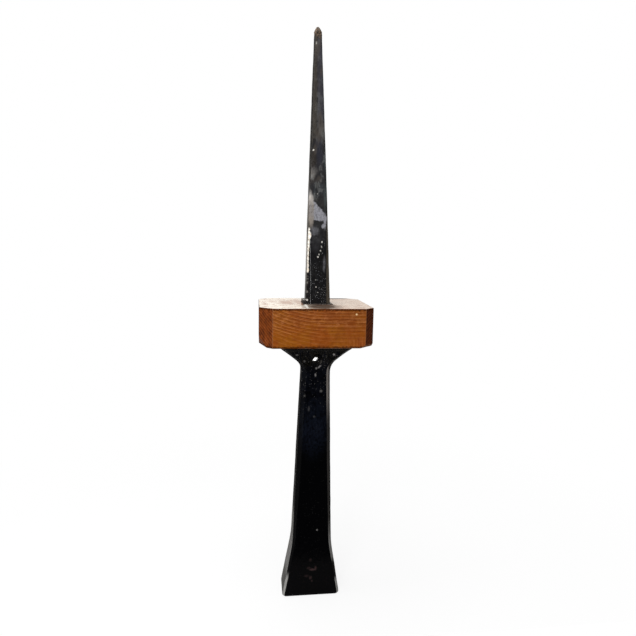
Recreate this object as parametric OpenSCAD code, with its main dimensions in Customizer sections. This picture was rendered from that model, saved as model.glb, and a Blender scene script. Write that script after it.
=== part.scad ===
/* [Spike] */
// Height of the spike above the collar
spike_rise = 266.5; // [180:0.5:320]
// Width of the spike across its flats where it leaves the collar
spike_base_w = 24.8; // [22:0.2:28]
// Width of the spike across its flats at the tip
spike_tip_w = 6.8; // [4:0.2:9]
// Radius of the nose at the very point
nose_r = 1.3; // [0.8:0.1:2]
// Width of the flat that the corner chamfers leave on each face
spike_flat_w = 16.5; // [14:0.5:18]
// How far the spike stands to the right of the shank's middle, at the top of the collar
spike_shift = 0.8; // [0:0.1:1.5]
// How far the spike's tip leans to the left
spike_lean = 3.6; // [0:0.1:6]
// Width of the tang that goes down into the shank
tang_w = 14; // [12:0.5:15]
// Depth of the tang, front to back
tang_d = 12; // [10:0.5:14]
// Length of the tang below the collar
tang_len = 34; // [28:0.5:44]
// Slope cut on the tang's lower edges
tang_lead = 2; // [1:0.5:3]

/* [Collar] */
// Width of the wood collar
collar_w = 110; // [96:1:130]
// Depth of the wood collar, front to back
collar_d = 100; // [80:1:130]
// Thickness of the wood collar
collar_h = 38; // [30:1:46]
// Sawn corner at the front left
corner_front_left = 12.5; // [6:0.5:16]
// Sawn corner at the front right
corner_front_right = 9; // [6:0.5:16]
// Sawn corner at the back left
corner_back_left = 12; // [6:0.5:16]
// Sawn corner at the back right
corner_back_right = 10.5; // [6:0.5:16]
// Height of the small cut under each corner
nip_h = 4.5; // [2:0.5:7]
// Width of the small cut under each corner
nip_w = 5; // [2:0.5:7]
// How far the steeper cut at the front left is turned askew, in degrees
nip_skew = 30; // [0:1:30]
// Rise of the steeper cut per millimetre outwards
skew_nip_rise = 2; // [1:0.1:2.5]
// How far the steeper cut reaches in from the middle of its sawn corner
skew_nip_reach = 0.5; // [0.2:0.1:2]

/* [Wedge and pitch] */
// Front to back width of the iron wedge
wedge_d = 16; // [12:0.5:16]
// Thickness of the wedge at the foot of the mortise
wedge_toe = 2.2; // [1:0.1:3]
// Height of the wedge's burred head above the collar
wedge_proud = 4.5; // [3:0.5:8]
// How far the hammered burr spreads past the wedge
wedge_burr = 0.5; // [0.2:0.1:1]
// Depth of the pitch poured round the spike
pitch_depth = 12; // [6:1:20]
// Height of the pitch bead above the collar
pitch_proud = 0.8; // [0.4:0.1:1.5]

/* [Shank] */
// Height of the shank with its flange
shank_h = 278.5; // [220:0.5:340]
// How far the foot stands to the right of the collar's middle
foot_shift = 1.2; // [0:0.1:3]
// How far the shank's top leans to the right of its foot
shank_lean = 2.4; // [0:0.1:4]
// Width of the foot
foot_w = 62; // [52:0.5:70]
// Depth of the foot, front to back
foot_d = 31; // [28:0.5:38]
// Width where the straight taper meets the flare of the foot
waist_w = 41.6; // [36:0.2:46]
// Height of that place above the ground
waist_z = 60; // [45:1:90]
// Width of the neck
neck_w = 28.8; // [27:0.2:34]
// Depth of the neck, front to back
neck_d = 27; // [25:0.5:30]
// Depth of the neck below the top of the flange
neck_drop = 24.7; // [22:0.1:28]
// Chamfer along the shank's corners
edge_cut = 4.2; // [2:0.1:5]
// Dressed edge round the sole of the foot
sole_edge = 1.5; // [0.5:0.1:2.5]
// Radius where the foot flares out
flare_r = 140; // [80:5:200]
// Radius where the neck turns out into the flange
neck_r = 16; // [8:0.5:18]

/* [Flange] */
// Width of the flange under the collar
flange_w = 76.4; // [68:0.2:86]
// Depth of the flange, front to back
flange_d = 36; // [33:0.5:44]
// Thickness of the flange at its ends
flange_edge = 6.5; // [4:0.5:8]
// Height of the slope under the front and back lips
lip_slope_h = 4.5; // [3:0.5:5]

/* [Cross rivet] */
// Diameter of the rivet's stem
rivet_d = 7; // [5:0.5:8]
// Width of the domed head at the front
head_d = 12.5; // [10:0.5:14]
// Height of the domed head
head_h = 3.4; // [2:0.1:5]
// Width of the flatter head hammered over at the back
tail_d = 11.5; // [9:0.5:13]
// Height of the hammered head
tail_h = 2.2; // [1.5:0.1:3]
// Distance of the rivet below the collar
rivet_drop = 18.5; // [17.5:0.1:19.5]

/* [Clearances] */
// Gap between the spike and the mortise at the spike's widest place
mortise_gap = 0.35; // [0.2:0.05:0.8]
// Gap between the tang and its socket
socket_gap = 0.25; // [0.1:0.05:0.5]
// Gap under the end of the tang
socket_end_gap = 1; // [0.5:0.5:3]
// Radial gap round the rivet's stem
rivet_gap = 0.1; // [0.05:0.05:0.3]

/* [Hidden] */
$fn = 64;

// Slack by which cutting bodies run past the faces that they cut
run_out = 1;
// How far the corner cut lags behind a turn of the outlines
turn_lag = 0.4;
// Steps in each drawn arc
arc_steps = 8;
// Steps in the rounded point
nose_steps = 12;

// Heights, from the ground up
collar_top = shank_h + collar_h;
tip_z = collar_top + spike_rise;
neck_z = shank_h - neck_drop;
flange_under_z = shank_h - flange_edge;
lip_z = flange_under_z - lip_slope_h;
rivet_z = shank_h - rivet_drop;
tang_end_z = shank_h - tang_len;

// Middle of the shank and of the spike at height z, from the collar's middle
function shank_mid(z) = foot_shift + shank_lean * z / shank_h;
function spike_mid(z) = shank_mid(shank_h) + spike_shift - spike_lean * (z - collar_top) / spike_rise;

// Half width of the spike across its flats at height z
spike_slope = (spike_base_w - spike_tip_w) / 2 / spike_rise;
function spike_half(z) = spike_base_w / 2 - spike_slope * (z - collar_top);
function spike_left(z) = spike_mid(z) - spike_half(z);

// Depth at which the radius of the rounded nose has grown to spike_tip_w, past the corners
nose_depth = spike_tip_w * spike_tip_w / (2 * nose_r);

// The mortise through the collar, which clears the spike at its widest place
mortise_half = spike_half(shank_h) + mortise_gap;
mortise_left = spike_left(shank_h) - wedge_toe;
mortise_right = spike_mid(shank_h) + mortise_half;

// The tang and the rivet lie in the middle of the shank's top
tang_x = shank_mid(shank_h);
rivet_x = shank_mid(rivet_z);

// Points of an arc of radius r that rounds corner b between the lines to a and c
function rounded(a, b, c, r) =
    let (
        u = (a - b) / norm(a - b),
        v = (c - b) / norm(c - b),
        half_turn = acos(u * v) / 2,
        reach = r / tan(half_turn),
        middle = b + (u + v) / norm(u + v) * r / sin(half_turn),
        start = b + u * reach - middle,
        end = b + v * reach - middle,
        sweep = 180 - 2 * half_turn,
        side = sign(start[0] * end[1] - start[1] * end[0])
    )
    [for (i = [0:arc_steps])
        let (t = side * sweep * i / arc_steps)
        middle + [start[0] * cos(t) - start[1] * sin(t), start[0] * sin(t) + start[1] * cos(t)]];

// Half outline of the shank seen from the front, as width and height
foot_point = [foot_w / 2, sole_edge];
waist_point = [waist_w / 2, waist_z];
neck_point = [neck_w / 2, neck_z];
ear_point = [flange_w / 2, flange_under_z];
front_line = concat(
    [[foot_w / 2 - sole_edge, 0], foot_point],
    rounded(foot_point, waist_point, neck_point, flare_r),
    rounded(waist_point, neck_point, ear_point, neck_r),
    [ear_point, [flange_w / 2, shank_h]]
);

// Half outline of the shank seen from the side
side_line = [
    [foot_d / 2 - sole_edge, 0],
    [foot_d / 2, sole_edge],
    [neck_d / 2, neck_z],
    [neck_d / 2, lip_z],
    [flange_d / 2, flange_under_z],
    [flange_d / 2, shank_h]
];

// Heights at which the corner cut turns: just above each turn of the front outline and of
// the lip, so that no three faces meet in one point
front_heights = [for (p = front_line) if (p[1] > 0 && p[1] < shank_h) p[1]];
turns = concat(
    [for (z = front_heights) if (z < lip_z) z],
    [lip_z],
    [for (z = front_heights) if (z > lip_z) z]
);
corner_heights = concat([0], [for (z = turns) z + turn_lag], [shank_h]);

// Half extent of an outline at height z
function extent(line, z) = lookup(z, [for (p = line) [p[1], p[0]]]);

// Half extent across the corners, which leaves a chamfer of even width
function corner_extent(z) = (extent(front_line, z) + extent(side_line, z) - edge_cut) / sqrt(2);

// Half outlines are lists of half width and height, and shank_middles and spike_middles
// are the middle of the shank or the spike at the heights of such an outline
function shank_middles(half_points) = [for (p = half_points) shank_mid(p[1])];
function spike_middles(half_points) = [for (p = half_points) spike_mid(p[1])];

// Prism of a half outline laid on both sides of its middles, turned about Z
module outline_prism(half_points, middles, length, turn) {
    last = len(half_points) - 1;
    right = [for (i = [0:last]) [middles[i] * cos(turn) + half_points[i][0], half_points[i][1]]];
    left = [for (i = [last:-1:0]) [middles[i] * cos(turn) - half_points[i][0], half_points[i][1]]];
    rotate([90, 0, turn])
        linear_extrude(height = length, center = true)
            polygon(concat(right, left));
}

// The spike's faces from height z0 up to the tip, without the rounding of the tip
module spike_body(z0) {
    flat_half = spike_flat_w / 2;
    faces = [for (z = [z0, tip_z]) [spike_half(z), z]];
    corners = [for (z = [z0, tip_z]) [(spike_half(z) + flat_half) / sqrt(2), z]];
    intersection_for (turn = [0, 90]) {
        intersection() {
            outline_prism(faces, spike_middles(faces), 4 * collar_w, turn);
            outline_prism(corners, spike_middles(corners), 4 * collar_w, turn - 45);
        }
    }
}

// Tang with a lead cut round its end, which runs up into the spike
module tang() {
    for_width = [[tang_w / 2 - tang_lead, tang_end_z], [tang_w / 2, tang_end_z + 2 * tang_lead],
        [tang_w / 2, shank_h + run_out]];
    for_depth = [[tang_d / 2 - tang_lead, tang_end_z], [tang_d / 2, tang_end_z + 2 * tang_lead],
        [tang_d / 2, shank_h + run_out]];
    upright = [tang_x, tang_x, tang_x];
    intersection() {
        outline_prism(for_width, upright, 2 * tang_w, 0);
        outline_prism(for_depth, upright, 4 * tang_w, 90);
    }
}

// Hole for the rivet, from front to back
module rivet_hole() {
    translate([rivet_x, 0, rivet_z])
        rotate([90, 0, 0])
            cylinder(r = rivet_d / 2 + rivet_gap, h = 2 * flange_d, center = true);
}

// Outside of the spike's rounded point: a paraboloid that opens downwards past the corners
module tip_rounding() {
    depths = [for (i = [0:nose_steps]) nose_depth * pow(i / nose_steps, 2)];
    below = shank_h - tip_z - run_out;
    translate([spike_mid(tip_z), 0, tip_z])
        rotate_extrude()
            polygon(concat(
                [for (d = depths) [sqrt(2 * nose_r * d), -d]],
                [[collar_w, -nose_depth], [collar_w, below], [0, below]]
            ));
}

module punch_spike() {
    color("dimgray")
        difference() {
            union() {
                intersection() {
                    spike_body(shank_h);
                    tip_rounding();
                }
                tang();
            }
            rivet_hole();
        }
}

// Cut under one corner of the collar: starts reach inside the sawn corner's middle and rises outwards
module corner_nip(corner, turn, reach, rise) {
    far = 2 * nip_w;
    translate([corner[0], corner[1], shank_h])
        rotate([0, 0, turn])
            translate([-reach, 0, 0])
                rotate([90, 0, 0])
                    linear_extrude(height = collar_w, center = true)
                        polygon([[0, 0], [0, -run_out], [far, -run_out], [far, far * rise]]);
}

module collar_blank() {
    half_w = collar_w / 2;
    half_d = collar_d / 2;
    translate([0, 0, shank_h])
        linear_extrude(height = collar_h)
            polygon([
                [corner_front_left - half_w, -half_d],
                [half_w - corner_front_right, -half_d],
                [half_w, corner_front_right - half_d],
                [half_w, half_d - corner_back_right],
                [half_w - corner_back_right, half_d],
                [corner_back_left - half_w, half_d],
                [-half_w, half_d - corner_back_left],
                [-half_w, corner_front_left - half_d]
            ]);
}

// Straight mortise from height z0 to z1, with room for the wedge at the left
module mortise(z0, z1) {
    translate([mortise_left, -mortise_half, z0])
        cube([mortise_right - mortise_left, 2 * mortise_half, z1 - z0]);
}

module wood_collar() {
    half_w = collar_w / 2;
    half_d = collar_d / 2;
    reach = nip_w / sqrt(2);
    rise = nip_h / nip_w;
    color("sienna")
        difference() {
            collar_blank();
            mortise(shank_h - run_out, collar_top + run_out);
            corner_nip([half_w - corner_front_right / 2, corner_front_right / 2 - half_d], -45, reach, rise);
            corner_nip([half_w - corner_back_right / 2, half_d - corner_back_right / 2], 45, reach, rise);
            corner_nip([corner_back_left / 2 - half_w, half_d - corner_back_left / 2], 135, reach, rise);
            corner_nip(
                [corner_front_left / 2 - half_w, corner_front_left / 2 - half_d],
                225 - nip_skew,
                skew_nip_reach,
                skew_nip_rise
            );
        }
}

// Iron wedge between the mortise's left wall and the spike's left face
module collar_wedge() {
    toe_z = shank_h + wedge_toe;
    head_z = collar_top + wedge_proud;
    burr_z = collar_top + wedge_proud / 2;
    color("silver")
        union() {
            rotate([90, 0, 0])
                linear_extrude(height = wedge_d, center = true)
                    polygon([
                        [mortise_left, toe_z],
                        [spike_left(toe_z), toe_z],
                        [spike_left(burr_z), burr_z],
                        [mortise_left, burr_z]
                    ]);
            rotate([90, 0, 0])
                linear_extrude(height = wedge_d + 2 * wedge_burr, center = true)
                    polygon([
                        [mortise_left, burr_z],
                        [spike_left(burr_z), burr_z],
                        [spike_left(head_z), head_z],
                        [mortise_left - wedge_burr / 2, head_z],
                        [mortise_left - wedge_burr, (burr_z + head_z) / 2]
                    ]);
        }
}

// Pitch that fills the top of the mortise round the spike
module pitch_bed() {
    color("saddlebrown")
        difference() {
            mortise(collar_top - pitch_depth, collar_top + pitch_proud);
            spike_body(shank_h);
            translate([mortise_left - run_out, -wedge_d / 2, shank_h])
                cube([spike_mid(shank_h) - mortise_left, wedge_d, collar_h + 2 * wedge_proud]);
        }
}

// Square hole down into the top of the shank, with room round the tang
module tang_socket() {
    socket_w = tang_w + 2 * socket_gap;
    socket_d = tang_d + 2 * socket_gap;
    translate([tang_x - socket_w / 2, -socket_d / 2, tang_end_z - socket_end_gap])
        cube([socket_w, socket_d, tang_len + socket_end_gap + run_out]);
}

module flared_shank() {
    corner_line = [for (z = corner_heights) [corner_extent(z), z]];
    color("black")
        difference() {
            intersection() {
                outline_prism(front_line, shank_middles(front_line), 2 * flange_w, 0);
                outline_prism(side_line, shank_middles(side_line), 4 * flange_w, 90);
                outline_prism(corner_line, shank_middles(corner_line), 4 * flange_w, 45);
                outline_prism(corner_line, shank_middles(corner_line), 4 * flange_w, -45);
            }
            tang_socket();
            rivet_hole();
        }
}

// Domed cap of width d and height h that stands on the face at y = 0 and rises along -Y
module dome(d, h) {
    ball_r = (d * d / 4 + h * h) / (2 * h);
    intersection() {
        translate([0, ball_r - h, 0])
            sphere(r = ball_r);
        rotate([90, 0, 0])
            cylinder(r = d, h = 2 * h);
    }
}

module cross_rivet() {
    color("black")
        translate([rivet_x, 0, rivet_z])
            union() {
                rotate([90, 0, 0])
                    cylinder(r = rivet_d / 2, h = neck_d, center = true);
                translate([0, -neck_d / 2, 0])
                    dome(head_d, head_h);
                translate([0, neck_d / 2, 0])
                    rotate([0, 0, 180])
                        dome(tail_d, tail_h);
            }
}

punch_spike();
wood_collar();
collar_wedge();
pitch_bed();
flared_shank();
cross_rivet();
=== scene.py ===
"""Blacksmith's punch: a forged spike driven through a wood collar on a black flared shank."""
import math

import bmesh
import bpy
import numpy as np
from mathutils import Matrix, Vector


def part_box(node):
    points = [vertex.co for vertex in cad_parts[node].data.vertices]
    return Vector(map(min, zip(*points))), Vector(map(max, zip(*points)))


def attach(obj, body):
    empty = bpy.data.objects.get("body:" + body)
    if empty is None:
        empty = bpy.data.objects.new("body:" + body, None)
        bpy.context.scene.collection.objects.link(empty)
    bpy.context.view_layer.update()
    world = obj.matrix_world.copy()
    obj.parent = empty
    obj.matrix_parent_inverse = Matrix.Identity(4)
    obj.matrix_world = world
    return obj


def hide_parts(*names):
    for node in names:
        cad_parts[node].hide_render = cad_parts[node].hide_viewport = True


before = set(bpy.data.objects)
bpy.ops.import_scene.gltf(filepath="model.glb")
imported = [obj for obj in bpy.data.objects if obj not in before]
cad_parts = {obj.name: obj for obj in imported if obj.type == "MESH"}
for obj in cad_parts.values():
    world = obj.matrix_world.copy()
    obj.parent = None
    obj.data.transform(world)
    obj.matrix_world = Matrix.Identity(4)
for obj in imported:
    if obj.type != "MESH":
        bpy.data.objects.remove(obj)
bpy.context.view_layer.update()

bl_info = {
    "name": "Blacksmith punch",
    "version": (1, 0, 0),
    "blender": (4, 5, 0),
    "location": "View3D > Sidebar > Punch",
    "description": "Builds a forged punch with a wood collar and a flared shank round its fitted frame",
    "category": "Object",
}

MM = 0.001
TOUCH = 3e-6
BODY = "root"

COLLAR_LOW, COLLAR_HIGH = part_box("wood_collar")
SHANK_LOW, SHANK_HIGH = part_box("flared_shank")
SPIKE_LOW, SPIKE_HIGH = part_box("punch_spike")
WEDGE_LOW, WEDGE_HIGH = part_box("collar_wedge")
PITCH_LOW, PITCH_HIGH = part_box("pitch_bed")
RIVET_LOW, RIVET_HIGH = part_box("cross_rivet")

# Where the shank's sole and the spike's base stand in x, and how far each leans to the right over its rise
SHANK_FOOT_X, SHANK_LEAN = 1.2 * MM, 2.4 * MM
SPIKE_BASE_X, SPIKE_LEAN = 4.4 * MM, -3.6 * MM
SPIKE_RISE = SPIKE_HIGH.z - COLLAR_HIGH.z

# Where the camera stands, and its yaw to the right, pitch down and roll in degrees
CAMERA_PLACE = Vector((-58.5, -539.0, 375.3)) * MM
CAMERA_TURN = (6.8, 7.8, 1.0)
SENSOR_WIDTH = 36.0


# Sizes and finishes that a user can change

def length(name, description, default):
    """A size in metres that the sidebar shows in the scene's unit."""
    return bpy.props.FloatProperty(
        name=name, description=description, default=default, min=0.0, unit="LENGTH", precision=5
    )


def paint(name, description, default):
    """A colour without alpha."""
    return bpy.props.FloatVectorProperty(
        name=name, description=description, default=default, size=3, min=0.0, max=1.0, subtype="COLOR"
    )


def angle(name, description, default):
    """An angle that the sidebar shows in degrees."""
    return bpy.props.FloatProperty(
        name=name, description=description, default=default, unit="ROTATION", subtype="ANGLE"
    )


def number(name, description, default, top, unit="NONE"):
    """A number from nothing to a top, in a unit where it has one."""
    return bpy.props.FloatProperty(
        name=name, description=description, default=default, min=0.0, max=top, unit=unit
    )


class SpikeSettings(bpy.types.PropertyGroup):
    """Sizes and finish of the forged spike."""

    base_width: length("Base width", "Across the flats where the spike leaves the collar", 24.8 * MM)
    tip_width: length("Tip width", "Across the flats at the point", 6.8 * MM)
    flat_width: length("Flat width", "Flat that the corner chamfers leave on each face", 16.5 * MM)
    nose_radius: length("Nose radius", "Radius of the rounded point", 1.3 * MM)
    arris: length("Arris", "Least corner cut, near the tip", 0.8 * MM)
    edge_round: length("Edge rounding", "Rounding of the long edges", 0.45 * MM)
    tang_width: length("Tang width", "Width of the tang in the shank", 14 * MM)
    tang_depth: length("Tang depth", "Depth of the tang, front to back", 12 * MM)
    tang_lead: length("Tang lead", "How far the tang narrows at its end", 2 * MM)
    tang_arris: length("Tang arris", "Corner cut of the tang", 0.6 * MM)
    hammer_depth: length("Hammer marks", "Depth of the unevenness left by the hammer", 0.35 * MM)
    point_lumps: length("Point lumps", "Depth of the rust lumps on the point", 0.9 * MM)
    iron: paint("Iron", "Dark scale on the upper spike", (0.026, 0.021, 0.019))
    iron_low: paint("Lower iron", "Glossy black iron near the collar", (0.006, 0.006, 0.007))
    worn: paint("Worn patch", "Pale worn and dusted iron", (0.245, 0.245, 0.272))
    worn_brown: paint("Worn edge", "Pale brown beside the worn patch", (0.215, 0.187, 0.160))
    worn_dust: paint("Dusted edge", "Dust on the upper end of the worn edge", (0.46, 0.43, 0.40))
    rust: paint("Rust", "Brown rust on the point", (0.13, 0.083, 0.048))


class CollarSettings(bpy.types.PropertyGroup):
    """Sizes and finish of the wood collar."""

    corner_front_left: length("Front left corner", "Sawn corner at the front left", 12.5 * MM)
    corner_front_right: length("Front right corner", "Sawn corner at the front right", 9 * MM)
    corner_back_left: length("Back left corner", "Sawn corner at the back left", 12 * MM)
    corner_back_right: length("Back right corner", "Sawn corner at the back right", 10.5 * MM)
    nip_height: length("Nip height", "Height of the small cut under each corner", 4.5 * MM)
    nip_width: length("Nip width", "Width of the small cut under each corner", 5 * MM)
    skew_nip_rise: number("Steep cut rise", "Rise of the steeper front left cut, per unit outwards", 2.0, 4.0)
    skew_nip_reach: length("Steep cut reach", "Reach of that cut in from its corner's middle", 0.5 * MM)
    skew_nip_turn: angle("Steep cut turn", "How far that cut is turned askew", math.radians(30))
    edge_round: length("Edge rounding", "Easing of the sawn edges", 0.5 * MM)
    ring_width: length("Ring width", "Distance between growth rings", 2.7 * MM)
    wood: paint("Wood", "Orange-brown of the long grain", (0.265, 0.062, 0.006))
    wood_golden: paint("Golden wood", "Smoother golden parts of the long grain", (0.285, 0.085, 0.005))
    wood_light: paint("Light grain", "Early wood between the rings", (0.47, 0.18, 0.060))
    wood_dark: paint("Dark grain", "Late wood and pores", (0.13, 0.030, 0.005))
    end_grain: paint("End grain", "Red-brown of the sawn corners and ends", (0.15, 0.034, 0.006))


class ShankSettings(bpy.types.PropertyGroup):
    """Sizes and finish of the flared shank."""

    foot_width: length("Foot width", "Width of the foot", 62 * MM)
    foot_depth: length("Foot depth", "Depth of the foot, front to back", 31 * MM)
    waist_width: length("Waist width", "Width where the foot's flare begins", 41.6 * MM)
    waist_height: length("Waist height", "Height where the foot's flare begins", 60 * MM)
    neck_width: length("Neck width", "Width of the neck", 28.8 * MM)
    neck_depth: length("Neck depth", "Depth of the neck, front to back", 27 * MM)
    neck_drop: length("Neck drop", "Depth of the neck below the top of the flange", 24.7 * MM)
    corner_cut: length("Corner cut", "Chamfer along the four corners at the neck", 4.2 * MM)
    foot_cut: length("Foot corner cut", "Chamfer along the four corners at the sole", 2.2 * MM)
    cut_height: length("Corner cut height", "Height from which the chamfer narrows downwards", 150 * MM)
    sole_edge: length("Sole edge", "Dressed edge round the sole", 1.5 * MM)
    flare_radius: length("Flare radius", "Radius where the foot flares out", 140 * MM)
    neck_radius: length("Neck radius", "Radius where the neck turns into the flange", 16 * MM)
    flange_edge: length("Flange edge", "Thickness of the flange at its ends", 6.5 * MM)
    lip_height: length("Lip height", "Height of the slope under the front and back lips", 4.5 * MM)
    edge_round: length("Edge rounding", "Rounding of the painted edges", 0.5 * MM)
    hammer_depth: length("Hammer marks", "Depth of the unevenness under the paint", 0.45 * MM)
    paint: paint("Paint", "Glossy black paint", (0.0008, 0.0008, 0.0011))
    # Painted reflection: the grey laid on the shank's right chamfer
    chamfer_reflection: paint("Worn paint", "Grey where the paint has worn thin", (0.20, 0.18, 0.165))
    # Painted light: the pale colour of the foot's lit faces
    foot_light: paint("Scuffed foot", "Pale scuffs on the sides of the foot", (0.155, 0.15, 0.145))


class FittingSettings(bpy.types.PropertyGroup):
    """Sizes and finish of the wedge, the pitch and the cross rivet."""

    wedge_toe: length("Wedge toe", "Thickness of the wedge at its foot", 2.2 * MM)
    burr: length("Burr", "How far the hammered burr spreads", 0.5 * MM)
    lump_depth: length("Lumps", "Depth of the lumps on the wedge's head and the pitch", 0.9 * MM)
    head_width: length("Rivet head", "Width of the domed head", 12.5 * MM)
    head_height: length("Head height", "Height of the domed head", 3.4 * MM)
    tail_width: length("Rivet tail", "Width of the hammered head at the back", 11.5 * MM)
    tail_height: length("Tail height", "Height of the hammered head", 2.2 * MM)
    stem_width: length("Rivet stem", "Diameter of the rivet's stem", 7 * MM)
    dent_depth: length("Rivet dent", "Depth of the dents in the rivet's heads", 0.3 * MM)
    bruise_depth: length("Bruise", "Depth of the flat that one blow left on the domed head", 0.9 * MM)
    bright_iron: paint("Bright iron", "Hammered head of the wedge", (0.33, 0.31, 0.29))
    dark_iron: paint("Dark iron", "Sides of the wedge", (0.045, 0.035, 0.028))
    pitch: paint("Pitch", "Hard pitch poured round the spike", (0.022, 0.011, 0.006))


class StageSettings(bpy.types.PropertyGroup):
    """Floor, light and camera."""

    floor: paint("Floor", "Colour of the floor and the backdrop", (0.86, 0.86, 0.86))
    mirrored_floor: paint("Mirrored floor", "Colour of the floor in glossy faces", (0.35, 0.34, 0.32))
    mirrored: paint("Mirrored backdrop", "Backdrop's cream in glossy faces", (0.97, 0.91, 0.825))
    key: number("Key light", "Power of the soft light at the front left", 15.0, 500.0, "POWER")
    window: number("Window light", "Power of the small light at the left", 0.45, 500.0, "POWER")
    top: number("Top light", "Power of the soft light overhead", 14.0, 500.0, "POWER")
    fill: number("Fill", "Strength of the even light from all round", 0.32, 5.0)
    room: number("Room", "Strength of the room that glossy faces mirror", 0.03, 5.0)
    lens: number("Lens", "Focal length in millimetres", 30.0, 300.0, "CAMERA")


# Working on meshes

def edit(on):
    """Opens or closes the active mesh."""
    bpy.ops.object.mode_set(mode="EDIT" if on else "OBJECT")


def start_piece():
    """Nothing is selected and no mesh is open before a primitive is added."""
    if bpy.context.object and bpy.context.object.mode != "OBJECT":
        edit(False)
    bpy.ops.object.select_all(action="DESELECT")


def settle(obj):
    """Puts an object's place, turn and scale into its mesh."""
    bpy.ops.object.select_all(action="DESELECT")
    obj.select_set(True)
    bpy.context.view_layer.objects.active = obj
    bpy.ops.object.transform_apply(location=True, rotation=True, scale=True)
    return obj


def block(low, high):
    """A plain box between two corners, to cut with or to shape."""
    start_piece()
    bpy.ops.mesh.primitive_cube_add(size=1, location=(low + high) / 2, scale=high - low)
    return settle(bpy.context.object)


def pick(obj, kind, test):
    """Selects only the vertices, edges or faces of the open mesh that pass the test."""
    bpy.ops.mesh.select_mode(type=kind)
    bpy.ops.mesh.select_all(action="DESELECT")
    shell = bmesh.from_edit_mesh(obj.data)
    for part in {"VERT": shell.verts, "EDGE": shell.edges, "FACE": shell.faces}[kind]:
        if test(part):
            part.select_set(True)
    shell.select_flush_mode()
    bmesh.update_edit_mesh(obj.data)


def middle_of(edge):
    return (edge.verts[0].co + edge.verts[1].co) / 2


def line_of(edge):
    """Direction of an edge, without sign."""
    run = (edge.verts[1].co - edge.verts[0].co).normalized()
    return Vector((abs(run.x), abs(run.y), abs(run.z)))


def level_face(face, z):
    """Whether a face lies level at height z."""
    return all(abs(v.co.z - z) < TOUCH for v in face.verts)


def outer_edge(edge):
    """Whether an edge lies between a level face and a wall."""
    level = [abs(f.normal.z) > 0.99 for f in edge.link_faces]
    return len(level) == 2 and any(level) and not all(level)


def extrude(by):
    """Draws the selected faces or edges out by a step."""
    bpy.ops.mesh.extrude_region_move(TRANSFORM_OT_translate={"value": by})


def close_shell():
    """Turns all faces of the open mesh outwards and closes it."""
    bpy.ops.mesh.select_all(action="SELECT")
    bpy.ops.mesh.normals_make_consistent(inside=False)
    edit(False)


def apply_modifier(obj, kind, **settings):
    """Adds a modifier to the piece and applies it."""
    bpy.context.view_layer.objects.active = obj
    modifier = obj.modifiers.new(kind.title(), kind)
    for key, value in settings.items():
        setattr(modifier, key, value)
    bpy.ops.object.modifier_apply(modifier=modifier.name)


def cut_away(obj, *cutters):
    """Takes other bodies out of a piece and removes them."""
    for cutter in cutters:
        apply_modifier(obj, "BOOLEAN", object=cutter, operation="DIFFERENCE", solver="EXACT")
        bpy.data.objects.remove(cutter)


def hammer(obj, group, grain, depth):
    """Uneven surface of forged iron: moves points in and out by up to half the depth."""
    texture = bpy.data.textures.new(f"{obj.name} clouds", "CLOUDS")
    texture.noise_scale = grain
    texture.noise_depth = 2
    apply_modifier(
        obj,
        "DISPLACE",
        texture=texture,
        texture_coords="LOCAL",
        direction="NORMAL",
        mid_level=0.5,
        strength=depth,
        vertex_group=group,
    )
    bpy.data.textures.remove(texture)


def smooth_between(value, low, high):
    """0 up to low and 1 from high on, with a smooth rise."""
    t = min(max((value - low) / (high - low), 0.0), 1.0)
    return t * t * (3 - 2 * t)


def weigh(obj, name, weight):
    """Vertex group whose weights come from a function of the vertex's place."""
    group = obj.vertex_groups.new(name=name)
    for v in obj.data.vertices:
        group.add([v.index], weight(v.co), "REPLACE")
    return group.name


def keep_inside(obj, low, high, soft=0.02 * MM):
    """Squeezes a roughened mesh into the box that its CAD node has, without pressing any face flat."""
    for v in obj.data.vertices:
        for i in range(3):
            over, under = v.co[i] - high[i] + soft, low[i] + soft - v.co[i]
            if over > 0:
                v.co[i] = high[i] - soft * soft / (soft + over)
            elif under > 0:
                v.co[i] = low[i] + soft * soft / (soft + under)


def stack_rings(rings, columns_wide, columns_deep):
    """A closed eight-sided body through rings of (height, middle, half width, half depth, corner cut).

    It starts as a flat eight-sided face, which is extruded up and fitted ring by ring."""
    start_piece()
    bpy.ops.mesh.primitive_circle_add(
        vertices=8, radius=1, fill_type="NGON", location=(0, 0, rings[0][0]), rotation=(0, 0, math.pi / 8)
    )
    obj = settle(bpy.context.object)
    reach = math.cos(math.pi / 8)
    edit(True)
    before = (rings[0][0], 0.0, reach, reach, reach - math.sin(math.pi / 8))
    for step, ring in enumerate(rings):
        if step == 0:
            bpy.ops.mesh.select_all(action="SELECT")
            bpy.ops.transform.translate(value=(ring[1], 0, 0))
        else:
            pick(obj, "FACE", lambda f, z=before[0]: level_face(f, z))
            extrude((ring[1] - before[1], 0, ring[0] - before[0]))
        fit_ring(obj, before, ring)
        before = ring
    pick(obj, "EDGE", lambda e: line_of(e).x > 0.999 and abs(middle_of(e).y) > 0)
    bpy.ops.mesh.subdivide(number_cuts=columns_wide - 1)
    pick(obj, "EDGE", lambda e: line_of(e).y > 0.999)
    bpy.ops.mesh.subdivide(number_cuts=columns_deep - 1)
    close_shell()
    return obj


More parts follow.
